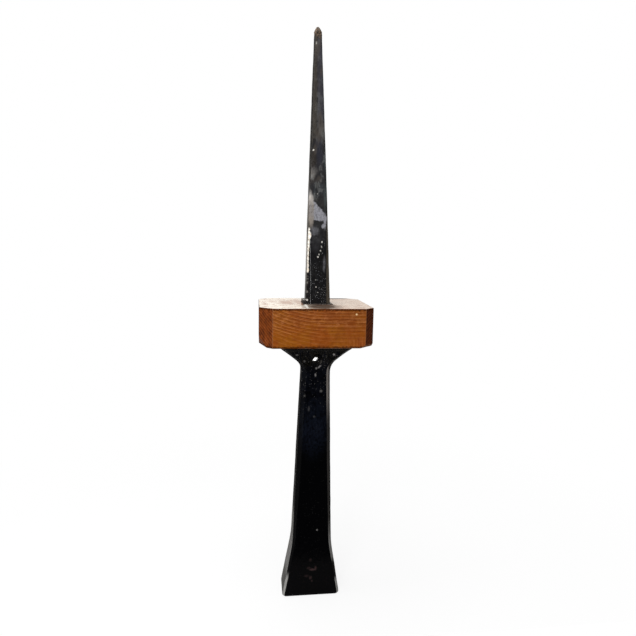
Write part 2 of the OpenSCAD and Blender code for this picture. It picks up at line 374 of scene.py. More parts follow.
def fit_ring(obj, before, ring):
    """Brings the selected ring from the last ring's size to its own, corner by corner."""
    _, _, wide, deep, cut = before
    z, middle, new_wide, new_deep, new_cut = ring
    chosen = [v for v in bmesh.from_edit_mesh(obj.data).verts if v.select]
    at_front = {v.index for v in chosen if abs(abs(v.co.y) - deep) < TOUCH}
    at_side = {v.index for v in chosen if abs(abs(v.co.x - middle) - wide) < TOUCH}
    for members, factors in (
        (at_front, ((new_wide - new_cut) / (wide - cut), new_deep / deep, 1)),
        (at_side, (new_wide / wide, (new_deep - new_cut) / (deep - cut), 1)),
    ):
        pick(obj, "VERT", lambda v, members=members: v.index in members)
        bpy.ops.transform.resize(value=factors, center_override=(middle, 0, z))


def round_long_edges(obj, rings, width, low, high):
    """Rounds the edges between the faces and the chamfers of a body made by stack_rings."""
    heights, *columns = zip(*rings)
    near, steep = 0.15 * MM, 0.2

    def long_edge(edge):
        p = middle_of(edge)
        if line_of(edge).z < steep or not low < p.z < high:
            return False
        middle, wide, deep, cut = (np.interp(p.z, heights, column) for column in columns)
        x, y = abs(p.x - middle), abs(p.y)
        at_front = abs(y - deep) < near and abs(x - wide + cut) < near
        at_side = abs(x - wide) < near and abs(y - deep + cut) < near
        return at_front or at_side

    pick(obj, "EDGE", long_edge)
    bpy.ops.mesh.bevel(offset=width, offset_type="OFFSET", segments=2, affect="EDGES", clamp_overlap=True)


def finish_piece(obj, name, node, material, smooth_angle=40):
    """Names the piece, dresses it and ties it to the frame."""
    obj.name = name
    obj.data.name = name
    settle(obj)
    bpy.ops.object.shade_smooth_by_angle(angle=math.radians(smooth_angle))
    obj.data.materials.clear()
    obj.data.materials.append(material)
    obj.vertex_groups.clear()
    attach(obj, BODY)
    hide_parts(node)


# Outlines of the forging

def rounded_corner(a, b, c, radius, steps=8):
    """Points of the arc that rounds corner b between the lines to a and c."""
    a, b, c = Vector(a), Vector(b), Vector(c)
    u, v = (a - b).normalized(), (c - b).normalized()
    half_turn = u.angle(v) / 2
    reach = radius / math.tan(half_turn)
    centre = b + (u + v).normalized() * radius / math.sin(half_turn)
    start = (b + u * reach - centre) / radius
    end = (b + v * reach - centre) / radius
    return [centre + start.slerp(end, i / steps) * radius for i in range(steps + 1)]


def spread_heights(heights, gap):
    """The given heights in order, with more between them where they are far apart."""
    least = 0.3 * MM
    found = []
    for z in sorted(heights):
        if found and z - found[-1] < least:
            continue
        if found:
            count = math.ceil((z - found[-1]) / gap)
            found += [found[-1] + (z - found[-1]) * i / count for i in range(1, count)]
        found.append(z)
    return found


def shank_middle(z):
    """The shank leans a little to the right as it rises."""
    return SHANK_FOOT_X + SHANK_LEAN * z / SHANK_HIGH.z


def spike_middle(z):
    """The spike stands a little right of the shank and leans left as it rises."""
    return SPIKE_BASE_X + SPIKE_LEAN * (z - COLLAR_HIGH.z) / SPIKE_RISE


def shank_rings(s):
    """Rings of the shank from its sole to the top of the flange."""
    top, lip = SHANK_HIGH.z, SHANK_HIGH.y
    under = top - s.flange_edge
    foot = (s.foot_width / 2, s.sole_edge)
    waist = (s.waist_width / 2, s.waist_height)
    neck = (s.neck_width / 2, top - s.neck_drop)
    ear = (SHANK_HIGH.x - shank_middle(top), under)
    front = [Vector((foot[0] - s.sole_edge, 0)), Vector(foot)]
    front += rounded_corner(foot, waist, neck, s.flare_radius)
    front += rounded_corner(waist, neck, ear, s.neck_radius)
    front += [Vector(ear), Vector((ear[0], top))]
    side = [
        Vector((s.foot_depth / 2 - s.sole_edge, 0)),
        Vector((s.foot_depth / 2, s.sole_edge)),
        Vector((s.neck_depth / 2, neck[1])),
        Vector((s.neck_depth / 2, under - s.lip_height)),
        Vector((lip, under)),
        Vector((lip, top)),
    ]
    heights = spread_heights([p.y for p in front + side], 6 * MM)
    wide = np.interp(heights, [p.y for p in front], [p.x for p in front])
    deep = np.interp(heights, [p.y for p in side], [p.x for p in side])
    cuts = np.interp(heights, [0, s.cut_height], [s.foot_cut, s.corner_cut])
    return [(z, shank_middle(z), w, d, cut) for z, w, d, cut in zip(heights, wide, deep, cuts)]


def spike_taper(s):
    """How much narrower the spike's half width gets per unit of height."""
    return (s.base_width - s.tip_width) / 2 / SPIKE_RISE


def spike_rings(s, low, high, gap=6 * MM):
    """Rings of the spike between two heights, with its chamfers and its rounded nose."""
    tip = SPIKE_HIGH.z
    nose = [tip - d * MM for d in (10, 8.5, 7, 5.8, 4.7, 3.7, 2.8, 2, 1.3, 0.75, 0.35, 0.1)]
    heights = spread_heights([low, high] + [z for z in nose if low < z < high], gap)
    rings = []
    for z in heights:
        round_reach = math.sqrt(2 * s.nose_radius * max(tip - z, 0.04 * MM))
        half = min(s.base_width / 2 - spike_taper(s) * (z - COLLAR_HIGH.z), round_reach)
        cut = max(s.arris, half - s.flat_width / 2, 2 * half - math.sqrt(2) * round_reach)
        rings.append((z, spike_middle(z), half, half, min(cut, half * (2 - math.sqrt(2)))))
    return rings


# Nodes

def opaque(shade):
    """A socket as it is, a number as a grey, and three numbers as an opaque colour."""
    if isinstance(shade, bpy.types.NodeSocket):
        return shade
    return (*([shade] * 3 if isinstance(shade, (int, float)) else shade), 1.0)


class Nodes:
    """Short calls that add nodes to one tree; textures follow its place."""

    def __init__(self, tree, place):
        self.tree = tree
        self.place = place

    def feed(self, socket, value):
        """Links an output to the socket, or sets the socket's own value."""
        if isinstance(value, bpy.types.NodeSocket):
            self.tree.links.new(value, socket)
        else:
            socket.default_value = value

    def add(self, kind, feeds=None, **settings):
        """A new shader node with its settings and inputs; gives its outputs."""
        made = self.tree.nodes.new("ShaderNode" + kind)
        for key, value in settings.items():
            setattr(made, key, value)
        for key, value in (feeds or {}).items():
            self.feed(made.inputs[key], value)
        return made.outputs

    def calc(self, operation, a, b=0.0, clamp=False):
        return self.add("Math", {0: a, 1: b}, operation=operation, use_clamp=clamp)[0]

    def plus(self, a, b):
        return self.calc("ADD", a, b)

    def minus(self, a, b):
        return self.calc("SUBTRACT", a, b)

    def times(self, first, *others):
        """Product of values, or where all of several masks agree."""
        for other in others:
            first = self.calc("MULTIPLY", first, other)
        return first

    def most(self, first, *others):
        """The strongest of several masks."""
        for other in others:
            first = self.calc("MAXIMUM", first, other)
        return first

    def centred(self, value, spread):
        """A noise value turned into a shift to both sides of nothing."""
        return self.times(self.minus(value, 0.5), spread)

    def vector(self, operation, a, b=(0, 0, 0)):
        made = self.add("VectorMath", {0: a, 1: b}, operation=operation)
        return made["Value" if operation == "LENGTH" else "Vector"]

    def mix(self, factor, a, b):
        """Colour between a and b."""
        return self.add("Mix", {0: factor, 6: opaque(a), 7: opaque(b)}, data_type="RGBA")[2]

    def over(self, under, shade, *masks):
        """One shade laid over another where all masks agree."""
        return self.mix(self.times(*masks), under, shade)

    def band(self, value, start, end, at_start=0.0, at_end=1.0):
        """Smooth step of a value between two limits, which may stand in falling order."""
        limits = {0: value, 1: start, 2: end, 3: at_start, 4: at_end}
        return self.add("MapRange", limits, interpolation_type="SMOOTHSTEP")[0]

    def between(self, value, low, high, soft):
        """1 between two limits, with soft ends."""
        return self.times(
            self.band(value, low - soft, low + soft), self.band(value, high + soft, high - soft)
        )

    def stretched(self, scale):
        """The place, with a texture drawn out along the axes that have a small scale."""
        return self.add("Mapping", {"Vector": self.place, "Scale": scale})[0]

    def noise(self, scale, detail=3.0, roughness=0.6, stretch=None, output=0):
        """Noise at the place, which may be stretched."""
        place = self.stretched(stretch) if stretch else self.place
        feeds = {"Vector": place, "Scale": scale, "Detail": detail, "Roughness": roughness}
        return self.add("TexNoise", feeds)[output]

    def effect(self, name, feeds):
        """Outputs of a shared node group, which is built at its first use."""
        build, inputs, outputs = EFFECTS[name]
        group = bpy.data.node_groups.get(name)
        if group is None:
            group = bpy.data.node_groups.new(name, "ShaderNodeTree")
            for title, default in inputs.items():
                kind = "NodeSocketVector" if isinstance(default, tuple) else "NodeSocketFloat"
                socket = group.interface.new_socket(title, in_out="INPUT", socket_type=kind)
                socket.default_value = default
            for title in outputs:
                group.interface.new_socket(title, in_out="OUTPUT", socket_type="NodeSocketFloat")
            given = group.nodes.new("NodeGroupInput").outputs
            build(Nodes(group, given["Vector"]), given, group.nodes.new("NodeGroupOutput").inputs)
        return self.add("Group", {"Vector": self.place, **feeds}, node_tree=group)

    def patch(self, centre, reach, ragged, fine, soft, strength=1.0, turn=0.0):
        """Mask of a ragged patch, in millimetres, turned by degrees about the front's own axis."""
        middle = [c * MM for c in centre]
        feeds = {
            "Centre": middle,
            "Reach": [r * MM for r in reach],
            "Raggedness": ragged * MM,
            "Fineness": fine,
            "Softness": soft,
        }
        if turn:
            turned = {"Vector": self.place, "Center": middle, "Angle": math.radians(turn)}
            feeds["Vector"] = self.add("VectorRotate", turned, rotation_type="Y_AXIS")[0]
        return self.times(self.effect("Ragged patch", feeds)["Mask"], strength)

    def patches(self, rows, fine, soft):
        """Masks of several patches, from rows of (centre, reach, raggedness, strength, turn)."""
        return [self.patch(c, r, ragged, fine, soft, *rest) for c, r, ragged, *rest in rows]

    def specks(self, cells, size, share):
        """Mask of scattered specks."""
        return self.effect("Scattered specks", {"Cells": cells, "Size": size, "Share": share})["Mask"]

    def skin(self, lumps, pits, pit_depth):
        """Height, mottling and pits of a forged surface."""
        return self.effect("Forged skin", {"Lumps": lumps, "Pits": pits, "Pit depth": pit_depth})


class Finish(Nodes):
    """A material whose colour is built up in layers over the object's own coordinates."""

    def __init__(self, name, base):
        self.material = bpy.data.materials.new(name)
        self.material.use_nodes = True
        tree = self.material.node_tree
        tree.nodes.clear()
        coords = tree.nodes.new("ShaderNodeTexCoord").outputs
        super().__init__(tree, coords["Object"])
        self.shader = tree.nodes.new("ShaderNodeBsdfPrincipled")
        surface = tree.nodes.new("ShaderNodeOutputMaterial")
        tree.links.new(self.shader.outputs[0], surface.inputs["Surface"])
        self.x, self.y, self.z = self.add("SeparateXYZ", {0: self.place})
        self.look_x, self.look_y, self.look_z = self.add("SeparateXYZ", {0: coords["Normal"]})
        self.along_x = self.calc("ABSOLUTE", self.look_x)
        self.along_y = self.calc("ABSOLUTE", self.look_y)
        self.colour = base

    def tint(self, shade, *masks):
        """Lays a shade over the colour where all masks agree."""
        self.colour = self.over(self.colour, shade, *masks)

    def chamfer(self):
        """1 on faces that look half along x and half along y."""
        return self.times(self.band(self.along_x, 0.38, 0.6), self.band(self.along_y, 0.38, 0.6))

    def done(self, rough, height, depth, **others):
        """Feeds the shader, with a bump of the given depth, and gives the material."""
        normal = self.add("Bump", {"Height": height, "Distance": depth, "Strength": 1.0})["Normal"]
        self.feed(self.shader.inputs["Base Color"], opaque(self.colour))
        self.feed(self.shader.inputs["Roughness"], rough)
        self.feed(self.shader.inputs["Normal"], normal)
        for name, value in others.items():
            self.feed(self.shader.inputs[name.replace("_", " ")], value)
        return self.material


def ragged_patch(n, given, made):
    """Mask of one patch with a ragged edge, round a centre and with its own reach each way."""
    wander = n.noise(given["Fineness"], 4.0, output=1)
    wander = n.vector("SUBTRACT", wander, (0.5, 0.5, 0.5))
    wander = n.add("VectorMath", {0: wander, "Scale": given["Raggedness"]}, operation="SCALE")["Vector"]
    off = n.vector("SUBTRACT", n.vector("ADD", n.place, wander), given["Centre"])
    distance = n.vector("LENGTH", n.vector("DIVIDE", off, given["Reach"]))
    soft = given["Softness"]
    n.feed(made["Mask"], n.band(distance, n.minus(1.0, soft), n.plus(1.0, soft), 1.0, 0.0))


def scattered_specks(n, given, made):
    """Mask of scattered specks, each of its own size."""
    cells = n.add("TexVoronoi", {"Vector": n.place, "Scale": given["Cells"]})
    chance = n.add("SeparateColor", {0: cells["Color"]})
    size = n.times(given["Size"], n.plus(0.35, chance[1]))
    dot = n.band(cells["Distance"], n.times(size, 0.55), size, 1.0, 0.0)
    kept = n.calc("LESS_THAN", chance[0], given["Share"])
    n.feed(made["Mask"], n.times(dot, kept))


def forged_skin(n, given, made):
    """Height and mottling of a forged surface: scale, dents and fine pits."""
    lumps = n.noise(given["Lumps"], 5.0, 0.55)
    broad = n.noise(n.times(given["Lumps"], 0.22), 3.0, 0.5)
    pits = n.add("TexVoronoi", {"Vector": n.place, "Scale": given["Pits"]}, feature="SMOOTH_F1")
    pitted = n.times(n.band(pits["Distance"], 0.42, 0.12), n.band(broad, 0.45, 0.62))
    n.feed(made["Height"], n.minus(lumps, n.times(pitted, given["Pit depth"])))
    n.feed(made["Mottle"], n.band(n.plus(n.times(lumps, 0.5), n.times(broad, 0.5)), 0.38, 0.62))
    n.feed(made["Pitted"], pitted)


# Shared effects: how each is built, its inputs with their defaults, and its outputs
EFFECTS = {
    "Ragged patch": (
        ragged_patch,
        {
            "Vector": (0, 0, 0),
            "Centre": (0, 0, 0),
            "Reach": (0.01, 0.01, 0.01),
            "Raggedness": 0.002,
            "Fineness": 300.0,
            "Softness": 0.15,
        },
        ("Mask",),
    ),
    "Scattered specks": (
        scattered_specks,
        {"Vector": (0, 0, 0), "Cells": 300.0, "Size": 0.3, "Share": 0.2},
        ("Mask",),
    ),
    "Forged skin": (
        forged_skin,
        {"Vector": (0, 0, 0), "Lumps": 260.0, "Pits": 900.0, "Pit depth": 0.35},
        ("Height", "Mottle", "Pitted"),
    ),
}


# Forged iron of the spike

# Zones of scale up the spike: from, to, softness at both ends, and colour
SCALE_ZONES = (
    (0.525, 0.565, 0.008, (0.024, 0.020, 0.022)),
    (0.478, 0.522, 0.009, (0.056, 0.054, 0.050)),
    (0.442, 0.472, 0.006, (0.009, 0.009, 0.012)),
    (0.422, 0.440, 0.005, (0.020, 0.024, 0.029)),
)
BLACK_ZONE = (0.009, 0.009, 0.010)
UMBER, SEPIA, TAN = (0.034, 0.027, 0.024), (0.034, 0.024, 0.017), (0.060, 0.047, 0.036)
SOOT, COAL, STREAK = (0.004, 0.004, 0.005), (0.006, 0.005, 0.007), (0.008, 0.007, 0.006)
ASH, OLIVE, SLATE = (0.095, 0.097, 0.095), (0.046, 0.037, 0.026), (0.034, 0.034, 0.048)
PIT, RUST_SHADE = (0.012, 0.010, 0.009), (0.016, 0.010, 0.006)
GREY_LEFT, GREY_RIGHT = (0.080, 0.068, 0.052), (0.095, 0.082, 0.062)
# Painted glints: the pale colour of fine specks on the glossy low end and of spots on the spike
PAINTED_SPECK_GLINT, GLINT = (0.22, 0.24, 0.27), (0.60, 0.58, 0.53)
# Painted highlight: pale colours of the rubbed left arris, standing in for its glint
ARRIS_HIGHLIGHT_DULL, ARRIS_HIGHLIGHT_BRIGHT = (0.66, 0.58, 0.47), (0.92, 0.89, 0.82)

# Teal, blue, burnt and green casts on the scale: colour, and a patch as below
SPIKE_CASTS = (
    ((0.040, 0.055, 0.055), (9.7, -9, 424), (1.1, 9, 15), 1.2, 200, 0.5, 0.6),
    ((0.012, 0.013, 0.024), (3.2, -9, 467), (3.6, 9, 14), 4.0, 190, 0.4, 0.85),
    ((0.014, 0.009, 0.005), (-2.4, -8, 459.5), (3.2, 9, 6.5), 3.0, 240, 0.35, 0.85),
    ((0.036, 0.052, 0.052), (9.2, -8, 460), (1.2, 9, 13), 1.6, 240, 0.5, 0.5),
)

# Patches, in millimetres: centre, reach each way, raggedness, fineness, softness, strength and turn
WORN_SLANT = ((-63.4, -9.3, 353.3), (90, 90, 90), 5.0, 300, 0.008)
WORN_LEVEL = ((6.0, -9.3, 429.5), (30, 60, 30), 3.6, 300, 0.025)
WORN_BITS = (
    ((8.4, -9.8, 394.3), (1.7, 9, 2.3), 3.2, 420, 0.3),
    ((9.9, -9.8, 399), (1.2, 9, 7), 2.4, 420, 0.4),
    ((-0.4, -9.9, 389.4), (4.0, 9, 4.2), 7.0, 380, 0.5, 0.33),
    ((9.8, -10.4, 357), (1.3, 9, 7), 2.2, 300, 0.5, 0.3),
    ((1.4, -10.2, 377), (4.6, 9, 8), 8.0, 300, 0.6, 0.055),
)
WORN_EDGE = ((-4.6, -8.6, 410.5), (3.4, 9, 17), 3.6, 260, 0.3, 1.0, 3)
BROWN_LUMP = ((-3.8, -8, 445.5), (4.2, 9, 6), 6.0, 260, 0.5, 0.2, -35)
# Painted highlight: two pale blobs on the left arris
ARRIS_HIGHLIGHT_BLOB = ((-6.5, -9.0, 350.8), (1.2, 2.0, 2.6), 0.8, 500, 0.3)
ARRIS_HIGHLIGHT_SWELL = ((-5.3, -9.0, 385.0), (1.7, 3.0, 3.4), 1.6, 420, 0.3)

# Painted glints on the spike, pale spots where highlights fall: centre, reach, raggedness, strength and turn
SPIKE_GLINTS = (
    ((7.2, -10.3, 378.7), (0.62, 2, 0.8), 0.3),
    ((6.9, -10.4, 374.0), (0.5, 2, 1.3), 0.5, 0.5, 25),
    ((5.8, -10.5, 370.1), (0.7, 2, 0.8), 0.5, 0.6),
    ((4.4, -10.7, 366.3), (0.6, 2, 0.8), 0.5, 0.6),
    ((3.4, -10.8, 363.8), (0.75, 2, 0.8), 0.3, 1.0, 30),
    ((1.8, -11.9, 333.9), (0.55, 2, 0.7), 0.3, 0.8),
    ((3.6, -12.0, 328.6), (0.5, 2, 0.6), 0.3, 0.4),
    ((1.4, -11.7, 341.0), (0.5, 2, 0.6), 0.3, 0.4),
    ((-0.8, -3.9, 567.1), (0.6, 2, 1.3), 0.3, 0.35),
    ((-2.4, -7.3, 467.4), (0.7, 2, 0.9), 0.3, 1.0, -35),
    ((-6.9, -10.5, 320.7), (0.9, 3, 1.0), 0.4),
    ((2.1, -8.9, 425.6), (0.6, 2, 0.6), 0.4, 0.3),
)


def lay_scale(n, s, across, wavy_z, blotch):
    """Dark scale in zones that change along the spike; gives the mask of the glossy low end."""
    upper = n.band(n.z, 0.416, 0.424)
    dark_top = n.band(n.z, 0.43, 0.44)
    n.tint(UMBER, n.band(blotch, 0.4, 0.65))
    for low, high, soft, shade in SCALE_ZONES:
        n.tint(shade, n.between(wavy_z, low, high, soft))
    n.tint(BLACK_ZONE, n.band(wavy_z, 0.422, 0.416))
    n.tint(SOOT, n.band(n.noise(300.0, 4.0, 0.7), 0.42, 0.58), n.band(n.z, 0.475, 0.455), 0.7)
    n.tint(SEPIA, n.band(across, 0.0, -5 * MM), dark_top, 0.6)
    cloudy = n.noise(210.0, 5.0, 0.65, (1, 1, 0.55))
    n.tint(ASH, n.band(cloudy, 0.52, 0.60), upper, 0.75)
    n.tint(COAL, n.band(cloudy, 0.50, 0.40), upper, 0.95)
    n.tint(OLIVE, n.band(across, -0.6 * MM, -2.2 * MM), n.band(wavy_z, 0.475, 0.490), 0.6)
    n.tint(SLATE, n.band(across, -1.6 * MM, 0.6 * MM), n.band(wavy_z, 0.485, 0.505), 0.6)
    for shade, *cast in SPIKE_CASTS:
        n.tint(shade, n.patch(*cast))
    glossy = n.band(wavy_z, 0.398, 0.370)
    n.tint(s.iron_low, glossy)
    n.tint(STREAK, n.band(n.noise(420.0, stretch=(1, 1, 0.16)), 0.35, 0.7, 0.0, 0.45))
    sandy = n.noise(130.0, 2.0, 0.5, (1, 1, 0.4))
    n.tint(TAN, n.band(sandy, 0.5, 0.66), dark_top, 0.5)
    return glossy


def wear_scale(n, s, blotch, pitted):
    """The pale patch where the scale has worn off, cut off slantwise above and nearly level below."""
    rubbed = n.noise(420.0, 4.0, 0.65, (1, 1, 0.6))
    worn = n.most(
        n.times(n.patch(*WORN_SLANT), n.patch(*WORN_LEVEL)), *(n.patch(*bit) for bit in WORN_BITS)
    )
    worn = n.times(
        worn,
        n.band(n.look_y, -0.5, -0.75),
        n.band(n.noise(640.0), 0.38, 0.6, 0.7, 1.05),
        n.band(rubbed, 0.3, 0.62, 0.6, 1.15),
    )
    n.tint(s.worn, worn)
    brown = n.most(n.patch(*WORN_EDGE), n.patch(*BROWN_LUMP))
    brown = n.times(brown, n.band(n.look_y, 0.6, 0.3), n.band(blotch, 0.3, 0.62, 0.45, 1.0))
    dusty = n.band(n.plus(n.z, n.centred(rubbed, 0.012)), 0.412, 0.424)
    n.tint(n.mix(dusty, s.worn_brown, s.worn_dust), brown)
    n.tint(PIT, pitted, 0.55)
    return worn, brown


def shade_chamfers(n, across, left, front, blotch, brown):
    """The chamfers and the left face are darker high up, and the chamfers are greyer low down."""
    cham = n.chamfer()
    high = n.band(n.z, 0.425, 0.445)
    flank = n.times(n.band(n.look_x, -0.6, -0.85), high)
    n.tint(STREAK, n.most(n.times(cham, high, front), flank))
    grey = n.times(cham, front, n.band(n.z, 0.412, 0.400), n.band(blotch, 0.3, 0.6, 0.4, 1.0))
    grey = n.times(grey, n.minus(1.0, brown))
    n.tint(GREY_LEFT, grey, left, n.band(n.z, 0.385, 0.397))
    n.tint(GREY_RIGHT, grey, n.band(across, 0.0, 1 * MM))
    return cham, flank


def rust_point(n, s):
    """Brown rust on the point."""
    ragged_z = n.plus(n.z, n.centred(n.noise(500.0, 4.0, 0.5), 0.008))
    rusty = n.band(ragged_z, 0.570, 0.5755)
    lumpy = n.noise(620.0, 4.0, 0.7)
    n.tint(n.mix(n.band(lumpy, 0.4, 0.62), RUST_SHADE, s.rust), rusty)
    return rusty


def arris_highlight(n, s, across, front):
    """A painted highlight on the rubbed left arris: a ragged pale line low on the spike, with beads below it.
    """
    inset = 0.45 * MM
    side = n.times(n.minus(n.z, COLLAR_HIGH.z), -spike_taper(s))
    side = n.plus(side, s.base_width / 2 - inset)
    edge = n.calc("ABSOLUTE", n.plus(across, side))
    edge = n.plus(edge, n.centred(n.noise(300.0), 2.6 * MM))
    edge = n.band(edge, 1.25 * MM, 0.85 * MM)
    beads = n.band(n.noise(330.0, 2.0, 0.5, (0.4, 0.4, 1)), 0.52, 0.58)
    beads = n.times(beads, n.between(n.z, 0.318, 0.353, 0.001), 0.14)
    nicks = n.noise(560.0, 3.0, 0.65)
    line = n.most(n.between(n.z, 0.353, 0.392, 0.0015), beads)
    line = n.times(line, edge, front, n.band(nicks, 0.36, 0.46, 0.45, 1.0))
    bright = n.most(line, n.patch(*ARRIS_HIGHLIGHT_BLOB), n.times(n.patch(*ARRIS_HIGHLIGHT_SWELL), front))
    n.tint(n.mix(n.band(nicks, 0.42, 0.56), ARRIS_HIGHLIGHT_DULL, ARRIS_HIGHLIGHT_BRIGHT), bright)
    return bright


def forged_iron(s):
    """Dark scale on the upper spike, a pale worn patch, black gloss near the collar and a rusty point, with
    painted glints and a painted highlight along the left arris.
    """
    n = Finish("Forged iron", s.iron)
    skin = n.skin(240.0, 800.0, 0.5)
    blotch = n.noise(150.0, stretch=(1, 1, 0.5))
    wavy_z = n.plus(n.z, n.centred(n.noise(60.0, 3.0, 0.55), 0.03))
    middle = n.times(n.minus(n.z, COLLAR_HIGH.z), SPIKE_LEAN / SPIKE_RISE)
    across = n.minus(n.x, n.plus(middle, SPIKE_BASE_X))
    front = n.band(n.look_y, -0.2, -0.5)
    left = n.band(across, 0.5 * MM, -0.5 * MM)

    glossy = lay_scale(n, s, across, wavy_z, blotch)
    worn, brown = wear_scale(n, s, blotch, skin["Pitted"])
    cham, flank = shade_chamfers(n, across, left, front, blotch, brown)
    rusty = rust_point(n, s)
    # Fine specks: small bumps that are also painted pale as glints on the glossy low end
    fine = n.specks(620.0, 0.32, 0.22)
    n.tint(PAINTED_SPECK_GLINT, fine, glossy, n.minus(1.0, n.times(cham, 0.7)), 0.22)
    # Painted glints: pale spots where highlights fall on the spike
    n.tint(GLINT, n.most(*n.patches(SPIKE_GLINTS, 900, 0.4)))
    # Painted highlight along the left arris
    bright = arris_highlight(n, s, across, front)

    rough = n.mix(glossy, 0.5, n.mix(cham, 0.22, 0.13))
    rough = n.over(rough, 0.3, cham, left, n.band(n.z, 0.352, 0.346))
    rough = n.over(rough, 0.5, worn)
    matt = n.times(cham, n.band(n.z, 0.385, 0.400))
    rough = n.over(rough, 0.7, n.most(rusty, brown, matt, flank))
    rough = n.plus(rough, n.centred(skin["Mottle"], 0.1))
    rough = n.over(rough, 0.38, bright)
    return n.done(rough, n.plus(skin["Height"], n.times(fine, 0.35)), 0.0003, IOR=1.35)


# Varnished wood of the collar

# The pith line of the tree, in y and z, and how the rings rise to the left of a place in x
PITH_Y, PITH_Z = 0.035, 0.205
RISE_FROM_X, RISE = 0.014, -2.9
RED_GRAIN, NICK_WOOD = (0.17, 0.036, 0.006), (0.72, 0.50, 0.26)
END_SHADE, END_PALE = (0.05, 0.012, 0.005), (0.23, 0.060, 0.018)
END_EARLY, END_LATE, PAINTED_SHADE_RIGHT_END = (0.26, 0.075, 0.020), (0.03, 0.008, 0.005), (0.025, 0.007, 0.007)
RED_STREAK, PALE_STREAK = (0.20, 0.040, 0.008), (0.34, 0.10, 0.03)
RIM, PAINTED_LOWER_HIGHLIGHT, RUBBED_CORNER = (0.036, 0.009, 0.002), (0.22, 0.13, 0.09), (0.26, 0.12, 0.055)
# Scuff that is partly painted sheen, darkening that is partly painted shadow, and a painted reflection of the
# spike
SCUFF_AND_SHEEN, TOP_DARKENING, PAINTED_SPIKE_REFLECTION = (0.74, 0.69, 0.60), (0.03, 0.018, 0.012), (0.90, 0.87, 0.80)
NICK_PATCH = ((36.6, -50, 311.2), (0.9, 1.5, 0.9), 0.5, 800, 0.35)
# Darker patch in front of the spike, and a painted shadow along the back edge of the top
DARK_PATCH_BY_SPIKE = ((6, -30, 317), (17, 24, 30), 12.0, 140, 0.5)
PAINTED_BACK_SHADOW = ((29, 48, 317), (15, 6, 30), 3.0, 140, 0.4)
ROSY_PATCH = ((-21, 8, 317), (14, 30, 30), 12.0, 90, 0.5)
# Painted reflection of the spike's pale left edge in the glossy top
SPIKE_REFLECTION_PATCH = ((-9.3, -27, 316.5), (1.2, 19, 3), 2.6, 260, 0.6)


def growth_rings(n, s):
    """Count of rings outwards from a pith line well below the back of the collar.

    Seen from the front, the rings rise towards the left end."""
    left = n.most(n.minus(RISE_FROM_X, n.x), 0.0)
    wander = n.centred(n.noise(48.0, 4.0, 0.6, (0.2, 1, 1)), 0.007)
    flat = n.add("CombineXYZ", {0: 0.0, 1: n.minus(n.y, PITH_Y), 2: n.minus(n.z, PITH_Z)})[0]
    ring = n.plus(n.vector("LENGTH", flat), n.plus(n.times(left, left, RISE), wander))
    return n.times(ring, 1.0 / s.ring_width)


def long_grain(n, s, ring, late, early, along, fibre, pores):
    """Grain of the front and the back: rings nearly level, with redder wood towards the top."""
    own = n.add("TexWhiteNoise", {"W": n.calc("FLOOR", ring)}, noise_dimensions="1D")["Value"]
    strength = n.times(n.band(own, 0.0, 1.0, 0.6, 1.0), n.band(along, 0.32, 0.55, 0.35, 1.2))
    strength = n.calc("MULTIPLY", strength, n.band(n.z, 0.288, 0.303, 0.3, 1.0), clamp=True)
    cloud = n.noise(70.0, 3.0, 0.55)
    upper = n.band(n.plus(n.z, n.centred(along, 0.012)), 0.296, 0.304)
    second = n.calc("FRACT", n.times(ring, 2.37))
    thread = n.times(n.band(second, 0.0, 0.2), n.band(second, 0.5, 0.2))
    mottle = n.noise(240.0, 4.0, 0.7, (0.8, 1, 1))
    n.tint(s.wood_golden, n.band(cloud, 0.38, 0.64))
    n.tint(s.wood_light, early, strength, 0.95)
    n.tint(RED_GRAIN, upper, n.band(cloud, 0.3, 0.6, 0.55, 0.15))
    n.tint(s.wood_dark, late, strength, n.band(upper, 0.0, 1.0, 0.8, 1.0))
    n.tint(s.wood_light, thread, strength, n.band(upper, 0.0, 1.0, 0.3, 0.55))
    n.tint(s.wood_dark, n.band(n.x, -0.03, 0.04, 0.05, 0.22))
    n.tint(s.wood_dark, n.band(mottle, 0.50, 0.36, 0.0, 0.35))
    n.tint(s.wood_light, n.band(mottle, 0.52, 0.66, 0.0, 0.4), n.band(upper, 0.0, 1.0, 0.3, 1.0))
    n.tint(s.wood_dark, n.band(fibre, 0.42, 0.72, 0.0, 0.6))
    n.tint(s.wood_dark, pores, 0.4)


def end_grain(n, s, late, early):
    """Redder wood on the sawn ends and corners, with painted shade on the right-hand ends, and fine upright
    streaks low at the right.
    """
    smudge = n.noise(260.0, stretch=(1, 1, 0.6))
    ends = n.mix(n.band(smudge, 0.44, 0.64, 0.0, 0.65), s.end_grain, END_SHADE)
    ends = n.over(ends, END_PALE, n.band(smudge, 0.42, 0.32, 0.0, 0.6))
    ends = n.over(ends, END_EARLY, early, 0.4)
    ends = n.over(ends, END_LATE, late, 0.55)
    # Painted shade: the right-hand ends, facing away from the light, are made darker
    ends = n.over(ends, PAINTED_SHADE_RIGHT_END, n.band(n.x, 0.0, 0.01), 0.45)
    n.tint(ends, n.band(n.along_x, 0.35, 0.6))
    stripes = n.noise(620.0, 2.0, 0.5, (1, 1, 0.12))
    red = n.mix(n.band(stripes, 0.4, 0.62), RED_STREAK, PALE_STREAK)
    low_right = n.times(n.band(n.x, 0.012, 0.046), n.band(n.z, 0.293, 0.283))
    n.tint(red, low_right, n.band(n.along_x, 0.6, 0.35), 0.5)


